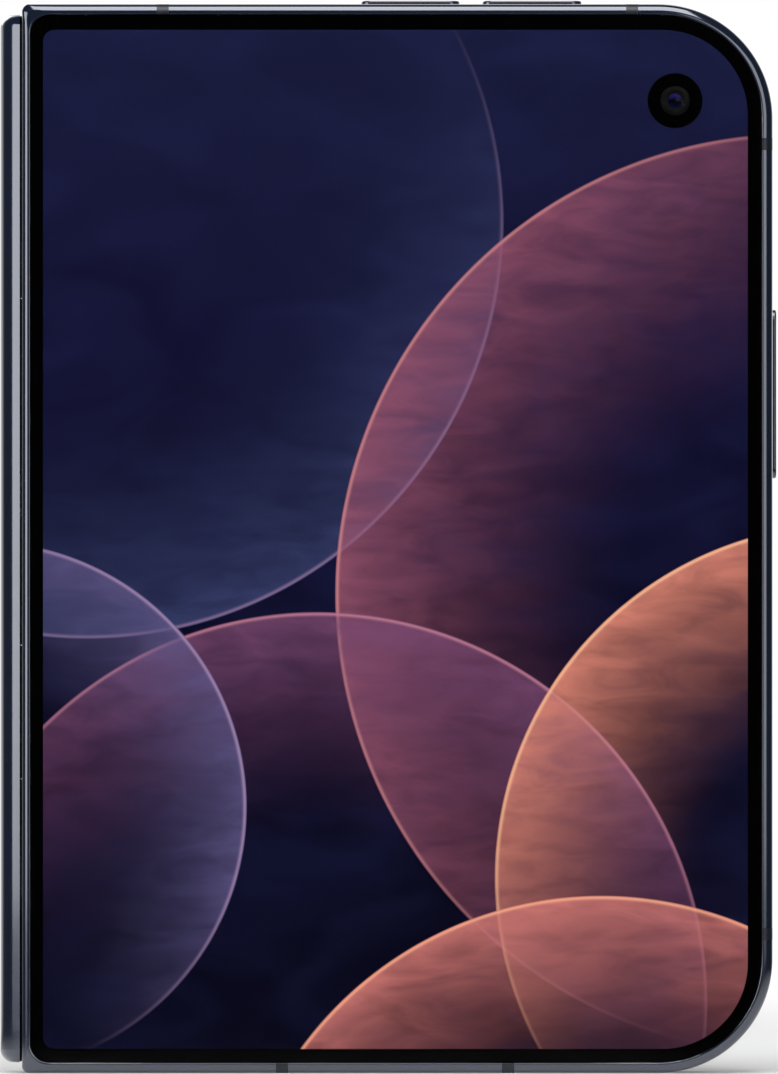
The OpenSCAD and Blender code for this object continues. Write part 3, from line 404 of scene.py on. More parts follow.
class Finish(Nodes):
    """A material built from nodes. Its patterns read the place on the object in millimetres."""

    def __init__(self, name, **sockets):
        self.material = bpy.data.materials.new(name)
        self.material.use_nodes = True
        super().__init__(self.material.node_tree)
        self.shader = self.tree.nodes["Principled BSDF"]
        self.set(**sockets)
        place = self.add("TexCoord").outputs["Object"]
        self.mm = self.add("VectorMath", {0: place, "Scale": 1 / MM}, operation="SCALE").outputs[0]

    def set(self, **sockets):
        for key, value in sockets.items():
            self.put(self.shader.inputs[key.replace("_", " ")], value)

    def noise(self, scale, detail=3.0, roughness=0.5, stretch=(1, 1, 1), turn=(0, 0, 0), distortion=0.0):
        place = self.add("Mapping", {"Vector": self.mm, "Scale": stretch, "Rotation": turn}).outputs[0]
        return self.add("TexNoise", {"Vector": place, "Scale": scale, "Detail": detail, "Roughness": roughness,
                                     "Distortion": distortion}).outputs[0]

    def from_axis(self, x, z):
        """How far a place lies from an axis through a point of the face."""
        arm = self.vector("SUBTRACT", self.mm, (x + HINGE_EDGE_X, 0.0, z))
        return self.vector("LENGTH", self.vector("MULTIPLY", arm, (1, 0, 1)))

    def relief(self, height, strength, depth):
        made = self.add("Bump", {"Height": height, "Strength": strength, "Distance": depth * MM})
        self.put(self.shader.inputs["Normal"], made.outputs[0])


def shade(red, green, blue):
    """Linear colour of a colour written from 0 to 255."""
    c = np.array([red, green, blue], float) / 255
    return tuple(float(v) for v in np.where(c <= 0.04045, c / 12.92, ((c + 0.055) / 1.055) ** 2.4))


def metal(name, colour, roughness, spread=0.06, grain=(1, 1, 1), grain_scale=18.0, dyed=False):
    """Metal with cloudy colour, uneven polish and a fine grain that can be drawn out along one axis. A dyed and
    polished one is only partly metallic, which keeps its shade blue where it mirrors the dark, under a clear coat."""
    f = Finish(name, Metallic=1.0)
    if dyed:
        f.set(Metallic=0.5, IOR=2.3, Coat_Weight=1.0, Coat_Roughness=0.05, Coat_IOR=1.5)
    cloud = f.noise(0.09, 3)
    fine = f.noise(grain_scale, 4, 0.6, stretch=grain)
    darker, lighter = tuple(c * 0.86 for c in colour), tuple(min(1.0, c * 1.12) for c in colour)
    f.set(Base_Color=f.colours(cloud, (0.3, darker), (0.7, lighter)))
    worn = f.sum("MULTIPLY_ADD", fine, spread, roughness - spread / 2)
    f.set(Roughness=f.sum("MULTIPLY_ADD", f.noise(0.5, 2), spread * 0.8, f.sum("SUBTRACT", worn, spread * 0.4)))
    f.relief(fine, 0.12, 0.004)
    return f.material


def moulded(name, colour, roughness=0.45, texture_scale=9.0, relief=0.2, shine=0.45):
    """Moulded plastic with a faint cloudy colour and a fine moulded grain."""
    f = Finish(name, Specular_IOR_Level=shine)
    cloud = f.noise(0.2, 3)
    pores = f.noise(texture_scale, 3, 0.55)
    f.set(Base_Color=f.colours(cloud, (0.3, tuple(c * 0.85 for c in colour)), (0.7, tuple(c * 1.15 for c in colour))),
          Roughness=f.sum("MULTIPLY_ADD", pores, 0.16, roughness - 0.08))
    f.relief(pores, relief, 0.01)
    return f.material


# the fill and the rim of a disc
BLUE, ROSE, PLUM, PEACH, LILAC, CORAL = ((shade(*fill), shade(*rim)) for fill, rim in (
    ((58, 66, 110), (150, 120, 160)), ((150, 84, 108), (214, 140, 140)), ((120, 72, 110), (200, 130, 150)),
    ((214, 130, 112), (250, 190, 150)), ((92, 84, 130), (170, 140, 180)), ((200, 116, 112), (255, 176, 140))))
COVER_DISCS = (
    # middle across and up, radius, width of the fill, colours, direction of the light, strength
    (-34.0, 96.0, 47.0, 30.0, BLUE, (0.45, -0.9), 0.75),
    (46.0, 54.0, 52.0, 34.0, ROSE, (-0.9, 0.35), 0.8),
    (-8.0, 8.0, 44.0, 26.0, PLUM, (0.2, 1.0), 0.85),
    (52.0, 22.0, 40.0, 24.0, PEACH, (-0.55, 0.85), 1.0),
    (-46.0, 30.0, 30.0, 20.0, LILAC, (0.9, 0.5), 0.9),
    (24.0, -22.0, 42.0, 22.0, CORAL, (-0.3, 1.0), 0.9),
)
INNER_DISCS = (
    (-62.0, 22.0, 62.0, 40.0, BLUE, (0.6, 0.8), 0.75),
    (66.0, 96.0, 66.0, 42.0, ROSE, (-0.8, -0.6), 0.85),
    (6.0, -14.0, 58.0, 32.0, PLUM, (0.1, 1.0), 0.9),
    (78.0, 8.0, 50.0, 30.0, PEACH, (-0.75, 0.65), 1.0),
    (-84.0, 96.0, 40.0, 26.0, LILAC, (0.8, -0.6), 0.9),
)


def lit_picture(name, discs, across=None, gloss=0.0):
    """The lit picture: a dark blue ground and large see-through discs, each brightest along one side of its rim.
    A disc's light is its fill, which grows towards the rim, plus a thin line on the rim, times a share that follows
    the direction from its middle. across tells how far along the display a place lies and which places are lit."""
    f = Finish(name, Roughness=0.5 - gloss, Base_Color=(0.002, 0.002, 0.003), Specular_IOR_Level=gloss)
    height = f.add("SeparateXYZ", {0: f.mm}).outputs[2]
    if across is None:
        flat, shown = f.vector("MULTIPLY", f.mm, (1, 0, 1)), 1.0
    else:
        place, shown = across(f)
        flat = f.add("CombineXYZ", {0: place, 1: 0.0, 2: height}).outputs[0]
    f.mm = flat
    ground = f.colours(f.range(height, 0, 120), (0.0, shade(4, 4, 22)), (0.35, shade(7, 6, 30)),
                       (0.7, shade(15, 14, 46)), (1.0, shade(23, 25, 57)))
    silk = f.noise(0.055, 2, 0.45, stretch=(1.0, 1, 2.2), turn=(0, 0.6, 0), distortion=1.2)
    light = f.mix(1.0, ground, f.colours(silk, (0.35, (0.0, 0.0, 0.0)), (0.85, shade(12, 15, 38))), "ADD")
    for x, z, radius, width, (fill, rim), towards, strength in discs:
        aim = np.array([towards[0], 0, towards[1]]) / np.hypot(*towards)
        arm = f.vector("SUBTRACT", flat, (x, 0, z))
        away = f.vector("LENGTH", arm)
        inside = f.range(away, radius + 0.06, radius - 0.06)
        glow = f.sum("POWER", f.range(away, radius - width, radius), 2.2)
        facing = f.vector("DOT_PRODUCT", f.vector("NORMALIZE", arm), tuple(aim))
        lit = f.sum("POWER", f.range(facing, -0.35, 1.0, smooth=True), 1.6)
        edge = f.sum("POWER", f.range(f.sum("ABSOLUTE", f.sum("SUBTRACT", away, radius - 0.22)), 0.42, 0.0), 2.0)
        folds = f.range(f.noise(0.12, 3, 0.5, stretch=(1, 1, 3), turn=(0, x * 0.03, 0), distortion=0.8),
                        0.3, 0.7, 0.6, 1.1)
        lit = f.sum("MULTIPLY", f.sum("MULTIPLY", inside, lit), strength)
        light = f.mix(f.sum("MULTIPLY", f.sum("MULTIPLY", glow, folds), lit), light, fill)
        light = f.mix(f.sum("MULTIPLY", edge, f.sum("MULTIPLY", lit, 0.9)), light, rim)
    f.set(Emission_Color=f.mix(shown, (0.0, 0.0, 0.0), light), Emission_Strength=1.0)
    return f.material


def across_flat(side):
    """Distance from the middle of the unfolded inner display on a flat part; lit near the meeting plane."""
    def place(f):
        x, y, _ = f.add("SeparateXYZ", {0: f.mm}).outputs
        depth = f.sum("ABSOLUTE", f.sum("SUBTRACT", y, MEETING_Y))
        return f.sum("MULTIPLY", f.sum("SUBTRACT", x, HINGE_EDGE_X - 0.1), side), f.sum("LESS_THAN", depth, 0.4)
    return place


def across_fold(f):
    """The same on the fold, where both are kept on the mesh."""
    return [f.add("Attribute", attribute_name=key).outputs["Fac"] for key in ("across", "lit")]


navy = (0.003, 0.012, 0.040)
rim_metal = metal("polished_navy_metal", navy, 0.13, dyed=True)
spine_metal = metal("polished_spine_metal", navy, 0.14, 0.05, grain=(1, 1, 0.05), dyed=True)
button_metal = metal("button_metal", navy, 0.14, dyed=True)
hinge_steel = metal("brushed_hinge_steel", (0.52, 0.53, 0.55), 0.3, 0.16, grain=(1, 1, 0.06), grain_scale=9)
# painted shade: the brackets' steel is coloured near-black so that the spine's gap to the halves looks shaded
gap_shade_brackets = metal("hinge_brackets_darkened_for_gap_shade", (0.09, 0.09, 0.1), 0.38, 0.16, grain_scale=9)
gear_brass = metal("gear_brass", (0.62, 0.47, 0.22), 0.28, 0.14)
spring_steel = metal("spring_steel", (0.6, 0.61, 0.63), 0.22, 0.12)
screw_steel = metal("screw_steel", (0.66, 0.67, 0.69), 0.24, 0.12)
shield_metal = metal("shield_can_metal", (0.6, 0.61, 0.62), 0.34, 0.14, grain=(0.05, 1, 1), grain_scale=6)
magnet_metal = metal("magnet_plating", (0.58, 0.57, 0.55), 0.2, 0.1)
port_steel = metal("port_steel", (0.45, 0.46, 0.48), 0.22, 0.12, grain=(1, 1, 0.05))
switch_metal = metal("switch_metal", (0.6, 0.5, 0.3), 0.3, 0.14)
plate_steel = metal("display_plate_steel", (0.42, 0.43, 0.45), 0.36, 0.18, grain=(0.04, 1, 1), grain_scale=8)
break_plastic = moulded("antenna_break_plastic", shade(21, 28, 39), 0.3)
black_plastic = moulded("bezel_plastic", shade(20, 21, 25), 0.5)
camera_black = moulded("camera_black", shade(9, 9, 10), 0.42, 14.0)
barrel_grey = moulded("camera_barrel_grey", shade(20, 20, 21), 0.5, 14.0, 0.2, 0.1)
border_ink = moulded("black_border_ink", shade(2, 2, 3), 0.6, 30.0, 0.05, 0.0)
# painted shade: near-black felt for the strips that fill the spine's gap, so that the gap looks shaded
gap_shade_felt = moulded("gap_strip_felt_painted_shade", shade(10, 10, 12), 0.9, 14.0, 0.8, 0.1)
speaker_plastic = moulded("speaker_plastic", shade(34, 35, 40), 0.55)


def glass(name, ior, tint=(1, 1, 1)):
    """Clear glass with a faint unevenness in its polish."""
    f = Finish(name, Base_Color=tint, Transmission_Weight=1.0, IOR=ior)
    f.set(Roughness=f.sum("MULTIPLY_ADD", f.noise(0.3, 2), 0.012))
    f.relief(f.noise(0.05, 1), 0.02, 0.01)
    return f.material


cover_glass_finish = glass("coated_cover_glass", 1.1)
window_glass = glass("lens_window_glass", 1.3, (0.86, 0.88, 0.92))


def satin_glass():
    """Etched rear glass: deep navy under a satin face with a very fine frost."""
    f = Finish("satin_rear_glass", Specular_IOR_Level=0.3)
    frost = f.noise(22.0, 4, 0.6)
    f.set(Base_Color=f.colours(f.noise(0.03, 3), (0.3, shade(23, 30, 45)), (0.7, shade(25, 33, 49))),
          Roughness=f.sum("MULTIPLY_ADD", frost, 0.14, 0.33))
    f.relief(frost, 0.16, 0.004)
    return f.material


def battery_foil():
    """Dark grey pouch foil, softly dented."""
    f = Finish("battery_foil", Metallic=0.6)
    f.set(Base_Color=f.colours(f.noise(0.15, 3), (0.3, shade(44, 48, 54)), (0.7, shade(66, 70, 78))),
          Roughness=f.sum("MULTIPLY_ADD", f.noise(3.0, 3), 0.2, 0.3))
    f.relief(f.noise(0.35, 4), 0.35, 0.08)
    return f.material


def circuit_board():
    """Green board: lacquer over a net of fine tracks drawn as the edges of square-distance cells."""
    f = Finish("circuit_board", Coat_Weight=0.4, Coat_Roughness=0.2)
    tracks = f.add("TexVoronoi", {"Vector": f.mm, "Scale": 0.9}, distance="MANHATTAN", feature="F1").outputs[0]
    lines = f.range(f.sum("FRACT", f.sum("MULTIPLY", tracks, 5.0)), 0.32, 0.42)
    f.set(Base_Color=f.mix(lines, shade(24, 70, 52), shade(14, 46, 36)),
          Roughness=f.sum("MULTIPLY_ADD", f.noise(5.0, 3), 0.15, 0.35))
    f.relief(lines, 0.3, 0.02)
    return f.material


def coil_copper():
    """Copper wound flat: rings round the middle of the coil, a quarter of a millimetre apart."""
    f = Finish("coil_copper", Metallic=0.9)
    wire = f.sum("SINE", f.sum("MULTIPLY", f.from_axis(*COIL_PLACE), 2 * math.pi / 0.25))
    f.set(Base_Color=f.colours(f.range(wire, -1, 1), (0.1, shade(96, 48, 22)), (0.6, shade(196, 122, 70))),
          Roughness=f.sum("MULTIPLY_ADD", f.noise(2.0, 3), 0.15, 0.3))
    f.relief(wire, 0.5, 0.04)
    return f.material


def lamp_phosphor():
    """Flash lamp: warm phosphor under a ribbed plastic lens."""
    f = Finish("flash_lamp_plastic", Specular_IOR_Level=0.5, Coat_Weight=1.0, Coat_Roughness=0.04)
    away = f.from_axis(FLASH_X, ISLAND_Z)
    rib = f.sum("SINE", f.sum("MULTIPLY", away, 2 * math.pi / 0.22))
    f.set(Base_Color=f.colours(f.range(away, 0.2, 1.5), (0.0, shade(240, 214, 130)), (0.6, shade(236, 228, 200))),
          Roughness=f.sum("MULTIPLY_ADD", f.noise(6.0, 2), 0.1, 0.25))
    f.relief(rib, 0.5, 0.03)
    return f.material


def lens_element(name, centre, painted_glint_reach):
    """Front of a lens: near-black in the middle, and towards the rim a painted reflection of its coating that changes
    across the glass, blue below and violet-blue above.
    """
    f = Finish(name, Specular_IOR_Level=0.08)
    height = f.sum("SUBTRACT", f.add("SeparateXYZ", {0: f.mm}).outputs[2], centre[1])
    away = f.from_axis(*centre)
    # painted reflection: the coating's coloured glint, blue at the bottom and violet-blue at the top of the rim, black
    # in the middle
    tint = f.colours(f.range(height, -painted_glint_reach, painted_glint_reach), (0.15, shade(6, 12, 60)), (0.4, shade(2, 2, 6)),
                     (0.6, shade(6, 5, 22)), (0.85, shade(40, 34, 120)))
    f.set(Base_Color=f.mix(f.range(away, painted_glint_reach * 0.35, painted_glint_reach), (0.001, 0.001, 0.002), tint),
          Roughness=f.sum("MULTIPLY_ADD", f.noise(1.0, 2), 0.02, 0.03))
    return f.material


rear_satin = satin_glass()
foil, board, copper, phosphor = battery_foil(), circuit_board(), coil_copper(), lamp_phosphor()
cover_picture = lit_picture("cover_display_picture", COVER_DISCS)
inner_picture = {side: lit_picture("inner_picture_" + half, INNER_DISCS, across_flat(side), 0.3)
                 for side, half in SIDES}
fold_picture = lit_picture("inner_picture_fold", INNER_DISCS, across_fold, 0.3)

# ----- pieces that take the place of CAD nodes


def frames():
    """Both frames with a round rim, and the plastic strips between their metal parts."""
    for side, half in SIDES:
        for node, part, finish, slot in (
                (half + "_frame", half + "_rim_and_web", rim_metal, "dark_frame_metal"),
                (half + "_antenna_breaks", half + "_antenna_strips", break_plastic, "break_plastic")):
            belongs(rim_core(node, part, side, finish), slot, half + "_half", node)
        rim_skin(side, half)


def cover_glass():
    """Cover glass with a rounded top edge, and the black border printed under it. The glass's loop is carried up a
    profile of inset and depth, up the wall and along a quarter arc. The border is a flat ring between two loops."""
    foot, edge_r = GLASS_D + 0.02, 0.2
    inset, drop = quarter(edge_r, 7)
    profile = [(0.04, foot), (0, foot + 0.04), *zip(inset, FACE_D - drop), (edge_r + 0.05, FACE_D)]
    points = layers(((inset_loop(GLASS, i), d) for i, d in profile), FRONT)
    made = piece("cover_glass_sheet", points, capped_faces(*points.shape[:2]), cover_glass_finish)
    belongs(made, "cover_glass", "front_half", "cover_glass")
    low, high = GLASS_D + 0.004, GLASS_D + 0.014
    outside, inside = inset_loop(GLASS, 0), inset_loop(PICTURE, 0)
    points = layers(((outside, low), (outside, high), (inside, high), (inside, low)), FRONT)
    ink = piece("cover_glass_black_border", points, grid_faces(4, len(outside), round_rows=True), border_ink)
    belongs(ink, "camera_black", "front_half")


def front_camera():
    """Front camera: a barrel with a stepped mouth and a domed lens, over its square housing."""
    top, r = GLASS_D - 0.06, 1.64
    barrel = turned("front_camera_barrel", np.concatenate([
        [[0, WEB_D - 0.3], [r, WEB_D - 0.3]], arc_profile(r - 0.06, top - 0.06, 0.06, 5),
        [[1.22, top], [1.18, top - 0.05], [1.14, top - 0.05], [0.86, top - 0.22], [0.8, top - 0.24], [0, top - 0.24]]]),
        FRONT_CAMERA, FRONT, barrel_grey)
    lens = domed_lens("front_camera_lens", FRONT_CAMERA, top - 0.3, top - 0.06, 0.78, 0.14, FRONT,
                      lens_element("front_lens_glass", FRONT_CAMERA, 0.62), 12)
    block = housing("front_camera_housing", FRONT_CAMERA, 3.15, 1.85, WEB_D, FRONT, camera_black)
    belongs(barrel, "camera_black", "front_half", "front_camera")
    belongs(lens, "lens_glass", "front_half")
    belongs(block, "camera_black", "front_half")


def spine():
    """The spine: a round shell with domed, solid ends. Outside, its section is struck from the two hinge axes and
    shrinks at each end by the end radius less that radius times the cosine of an angle, while the height goes by
    the sine. Inside, the hollow's section shrinks to a point in the plane of the mouth at a level end face."""
    outer_r, inner_r, mouth, end_r, end_wall = 3.4, 2.9, -0.25, 1.5, 1.2
    axis_x, axis_y = HINGE_AXIS
    low, high = SPINE_INSET, BODY_H - SPINE_INSET

    def section(radius):
        """Arc, straight and arc from one edge of the mouth to the other, in x and depth."""
        start = math.acos((mouth - axis_x) / radius)
        arc = np.linspace(start, math.pi, 28)
        first = np.stack([axis_x + radius * np.cos(arc), axis_y + radius * np.sin(arc)], -1)
        return np.concatenate([first, first[::-1] * [1, -1]])

    rings, middle = 14, np.linspace(low + 4, high - 4, 5)
    b = np.linspace(math.pi / 2, 0, rings)
    shrink = end_r * (1 - np.cos(b))
    rise = end_r * (1 - np.sin(b))
    outside = [(section(outer_r - e * 0.96), low + h) for e, h in zip(shrink, rise)]
    outside += [(section(outer_r), z) for z in middle]
    outside += [(l, low + high - z) for l, z in outside[:rings][::-1]]
    centre = np.array([mouth, 0.0])
    full = section(inner_r)
    share = np.linspace(0, 1, rings - 1)
    inside = [(centre + f * (full - centre), low + end_wall) for f in share] + [(full, low + 2.0)]
    inside += [(full, z) for z in middle]
    inside += [(l, low + high - z) for l, z in inside[:rings][::-1]]
    grids = [np.stack([to_row(l[:, 0], l[:, 1], z, REAR) for l, z in rows]) for rows in (outside, inside)]
    rows, columns = grids[0].shape[:2]
    faces = grid_faces(rows, columns, round_columns=False)
    step = rows * columns
    faces += (np.array(faces)[:, ::-1] + step).tolist()
    r = np.arange(rows - 1)
    for c in (0, columns - 1):
        faces += np.stack([r * columns + c, (r + 1) * columns + c, step + (r + 1) * columns + c,
                           step + r * columns + c], -1).tolist()
    faces += [list(range(columns)) + [step], list(range((rows - 1) * columns, step)) + [step + (rows - 1) * columns]]
    made = piece("spine_shell", np.concatenate([g.reshape(-1, 3) for g in grids]), faces, spine_metal, 40)
    belongs(made, "spine_metal", "spine", "spine_cover", "spine_end_caps")


def gap_shade_strips():
    """Near-black strips inside the spine that close its gap to the halves, between the brackets, as painted shade for
    that gap.
    Each is a rounded rectangle in width and depth carried up a height."""
    strips = ((1.3, 18.0), (33.2, 48.2), (69.9, 87.4), (102.6, 119.3))
    steps = 40
    x, d = rounded_square(0.35, 3.2, 0.3, steps)
    narrow = np.array([[0.8], [1], [1], [0.8]])
    points, faces = [], []
    for low, high in strips:
        start = sum(len(p) for p in points)
        heights = np.array([[low], [low + 0.15], [high - 0.15], [high]])
        rows = to_row(narrow * x, narrow * d, heights, FRONT)
        points.append(rows.reshape(-1, 3))
        faces += capped_faces(4, steps, start)
    made = piece("spine_gap_strips_painted_shade", np.concatenate(points), faces, gap_shade_felt)
    belongs(made, "black_plastic", "spine")


def buttons():
    """Three buttons with soft outer edges."""
    for node, body, out in (("volume_up_button", "volume_up", "z"), ("volume_down_button", "volume_down", "z"),
                            ("side_button", "side_key", "x")):
        mesh = merged_copy(node, body + "_cap")
        edge = (BODY_H if out == "z" else HALF_W) + BUTTON_OUT
        round_edges(mesh, REAR, lambda x, d, z: near(z if out == "z" else x, edge), 0.2, 4)
        belongs(stand(body + "_cap", mesh, button_metal), "button_metal", body, node)


def rear_face():
    """Rear glass with a softened edge, and the camera island with a round shoulder."""
    mesh = merged_copy("rear_glass", "rear_glass_sheet")
    round_edges(mesh, REAR, lambda x, d, z: near(d, FACE_D), 0.12, 4)
    belongs(stand("rear_glass_sheet", mesh, rear_satin), "back_glass", "rear_half", "rear_glass")

    mesh = merged_copy("camera_island", "camera_island_body")

    def from_lens(x, z):
        return np.minimum.reduce([np.hypot(x - c, z - ISLAND_Z) for c in (WIDE_X, ULTRAWIDE_X, FLASH_X)])

    round_edges(mesh, REAR, lambda x, d, z: near(d, ISLAND_D) & (from_lens(x, z) > 5.6).all(1), 0.7, 7)
    round_edges(mesh, REAR, lambda x, d, z: near(d, ISLAND_D) & (from_lens(x, z) < 5.2).all(1), 0.12, 3)
    belongs(stand("camera_island_body", mesh, rim_metal), "dark_frame_metal", "rear_half", "camera_island")


def fold_curve():
    """Face and back of half the folded sheet, in x and y. A point a length s from the middle has turned with its
    half by a share w of a quarter turn about the hinge axis, and w is the eased distance of that point along a
    slanting line, found by halving an interval. The back lies a sheet's thickness square to the face."""
    axis_x, axis_y = HINGE_AXIS
    reach = axis_y - SHEET_D
    s = np.linspace(0, 4.396, 72)

    def at(s, w):
        c, n = np.cos(w * math.pi / 2), np.sin(w * math.pi / 2)
        return axis_x + reach * c - (axis_y - s) * n, -axis_y + reach * n + (axis_y - s) * c

    def share(s):
        low, high = np.zeros_like(s), np.ones_like(s)
        for _ in range(40):
            middle = (low + high) / 2
            x, y = at(s, middle)
            u = np.clip((x * math.cos(math.pi / 4) - y * math.sin(math.pi / 4) - FOLD_P0) / (FOLD_P1 - FOLD_P0), 0, 1)
            over = middle - u * u * (3 - 2 * u) > 0
            low, high = np.where(over, low, middle), np.where(over, middle, high)
        return (low + high) / 2

    face = np.stack(at(s, share(s)), -1)
    ahead, behind = np.stack(at(s + 0.02, share(s + 0.02)), -1), np.stack(at(s - 0.02, share(s - 0.02)), -1)
    along = (ahead - behind) / np.linalg.norm(ahead - behind, axis=1)[:, None]
    back = face + SHEET_T * np.stack([along[:, 1], -along[:, 0]], -1)
    face[:, 1], back[:, 1] = np.minimum(face[:, 1], 0), np.minimum(back[:, 1], 0)
    return s, face, back


def display_fold():
    """The folding part of the inner display, one sheet made as two mirrored halves of its drop shape."""
    s, face, back = fold_curve()
    across = np.concatenate([s, [FOLD_END + 0.1] * 2, s[::-1]])
    lit = np.arange(len(across)) <= len(s)
    section = np.concatenate([face, [[FOLD_END, -SHEET_D], [FOLD_END, -SHEET_D - SHEET_T]], back[::-1]])
    low, high = FRAME_WALL + 0.8, BODY_H - FRAME_WALL - 0.8
    heights = np.linspace(low, high, 9)
    for side, half in ((FRONT, "front_half"), (REAR, "rear_half")):
        points = to_row(section[:, 0], -section[:, 1], heights[:, None], side)
        made = piece("inner_display_fold_" + half, points, capped_faces(*points.shape[:2]), fold_picture, 60)
        for key, value in (("across", across * side), ("lit", lit)):
            made.data.attributes.new(key, "FLOAT", "POINT").data.foreach_set(
                "value", np.tile(value, len(heights)).astype(np.float32))
        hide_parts("inner_display_fold")
        slant = math.sqrt(0.5)
        ends = [to_row(p * slant, p * slant, 60.0, side) for p in (FOLD_P0, FOLD_P1)]
        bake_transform(made)


def rear_cameras():
    """Lens windows with a printed black ring, and under each a barrel of stepped rings round a domed lens, on a
    square housing."""
    for centre_x, node, part, barrel_r, lens_r, half_size in (
            (WIDE_X, "wide_camera", "wide", 4.4, 2.3, 5.6),
            (ULTRAWIDE_X, "ultrawide_camera", "ultrawide", 4.0, 1.7, 5.0)):
        place, top, window_r = (centre_x, ISLAND_Z), ISLAND_D - 0.05, 4.98
        window = turned(part + "_lens_window", np.concatenate([
            [[0, top - 0.33], [window_r, top - 0.33]], arc_profile(window_r - 0.08, top - 0.08, 0.08, 6), [[0, top]]]),
            place, REAR, window_glass)
        belongs(window, "lens_glass", "rear_half", "rear_lens_covers")
        ring_d = top - 0.34
        ring = turned(part + "_lens_black_ring", [[3.3, ring_d - 0.02], [4.45, ring_d - 0.02], [4.45, ring_d],
                                                 [3.3, ring_d], [3.3, ring_d - 0.02]], place, REAR, border_ink)
        belongs(ring, "camera_black", "rear_half")
        mouth = ISLAND_D - 0.5
        barrel = turned(part + "_camera_barrel", [
            [0, WEB_D + 0.1], [barrel_r, WEB_D + 0.1], [barrel_r, mouth], [3.15, mouth], [3.05, mouth - 0.1],
            [2.95, mouth - 0.35], [2.75, mouth - 0.35], [2.65, mouth - 0.6], [2.4, mouth - 0.6], [2.35, mouth - 0.85],
            [0, mouth - 0.85]], place, REAR, camera_black)
        belongs(barrel, "camera_black", "rear_half", node)
        block = housing(part + "_camera_housing", place, half_size, 1.75, WEB_D, REAR, camera_black)
        belongs(block, "camera_black", "rear_half")
        lens = domed_lens(part + "_camera_lens", place, mouth - 0.9, mouth - 0.3, lens_r, lens_r * 0.3, REAR,
                          lens_element(part + "_lens_glass", place, lens_r * 0.8))
        belongs(lens, "lens_glass", "rear_half")


def flash_lamp():
    """Flash lamp: a stem and a cap whose top is ribbed, a wave of the radius, and rounded down at the rim."""
    top, cap_r, stem_r = ISLAND_D - 0.05, 1.6, 1.1
    r = np.linspace(1.3, 0, 66)
    ribs = np.stack([r, top - 0.05 + 0.025 * np.cos(2 * math.pi * r / 0.2)], -1)
    made = turned("flash_lamp_lens", np.concatenate([
        [[0, WEB_D], [stem_r, WEB_D], [stem_r, top - 0.35], [cap_r, top - 0.35]],
        arc_profile(cap_r - 0.15, top - 0.15, 0.15, 6), [[1.36, top]], ribs]),
        (FLASH_X, ISLAND_Z), REAR, phosphor)
    belongs(made, "lamp_plastic", "rear_half", "flash_lamp")


def display_surrounds():
    """The raised plastic border round each flat part of the inner display, open at the hinge. Its section has
    round upper edges and is carried from an outer to an inner path along three sides of the half."""
    start, wide = HINGE_AXIS[0] + 0.75, 1.9
    outer_corners = slice(HINGE_STEPS, HINGE_STEPS + 2 * OUTER_STEPS)

    def path(inset):
        return np.concatenate([[[start, inset]], inset_loop(HALF, inset)[outer_corners], [[start, BODY_H - inset]]])

    outer, inner = path(FRAME_WALL + 0.03), path(FRAME_WALL + wide)
    section = np.array([[0.02, SHEET_D], [0, 0.33], [0, 0.2], [0.02, 0.13], [0.06, IN_D], [0.86, IN_D], [0.93, 0.12],
                        [0.98, 0.18], [1, 0.26], [1, 0.33], [0.98, SHEET_D]])
    for side, half in SIDES:
        points = layers(((outer * (1 - t) + inner * t, d) for t, d in section), side)
        rows, columns = points.shape[:2]
        ends = np.arange(rows) * columns
        faces = grid_faces(rows, columns, round_rows=True, round_columns=False)
        made = piece(half + "_display_surround", points, faces + [ends.tolist(), (ends + columns - 1).tolist()],
                     black_plastic)
        belongs(made, "black_plastic", half + "_half", half + "_inner_bezel")


def charging_port():
    """Charging port: a steel tube of slot section with a round mouth and a closed end, and a tongue inside. The slot
    is two half circles whose radius shrinks by an inset; the tongue is a soft-cornered bar."""
    width, height, wall, mouth, depth = 8.94, 3.26, 0.3, 0.25, 7.4
    middle, steps = HALF_W / 2, 48
    a = np.linspace(-math.pi / 2, math.pi / 2, steps // 2)
    out, through = (np.concatenate([v, -v]) for v in (np.cos(a), np.sin(a)))
    centre = middle + np.repeat([1, -1], steps // 2) * (width - height) / 2
    turn = np.radians(np.linspace(180, 360, 11))
    lip = np.stack([wall / 2 + wall / 2 * np.cos(turn), mouth + wall / 2 + wall / 2 * np.sin(turn)], -1)
    rows = np.concatenate([[[0.05, mouth + depth], [0, mouth + depth - 0.05]], lip, [[wall, mouth + depth - 0.8]]])
    radius = height / 2 - rows[:, :1]
    points = to_row(centre + radius * out, MID_D + radius * through, rows[:, 1:], REAR)
    tube = piece("charging_port_shell", points, capped_faces(len(rows), steps), port_steel)
    belongs(tube, "port_steel", "rear_half", "charging_port")
    x, d = rounded_square(3.35, 0.35, 0.25, steps)
    size = np.array([[0.9], [0.97], [1], [1]])
    z = mouth + np.array([[1.0], [1.06], [1.2], [6.9]])
    tongue = piece("charging_port_tongue", to_row(middle + size * x, MID_D + size * d, z, REAR),
                   capped_faces(4, steps), black_plastic)
    belongs(tongue, "black_plastic", "rear_half")


def card_tray():
    """Card tray with a softened outer face."""
    mesh = merged_copy("card_tray", "card_tray_drawer")
    round_edges(mesh, REAR, lambda x, d, z: near(x, HALF_W), 0.12, 3)
    belongs(stand("card_tray_drawer", mesh, rim_metal), "dark_frame_metal", "tray", "card_tray")


for build in (frames, cover_glass, spine, gap_shade_strips, buttons, rear_face, display_fold, rear_cameras, flash_lamp,
              display_surrounds, charging_port, card_tray, front_camera):
    build()

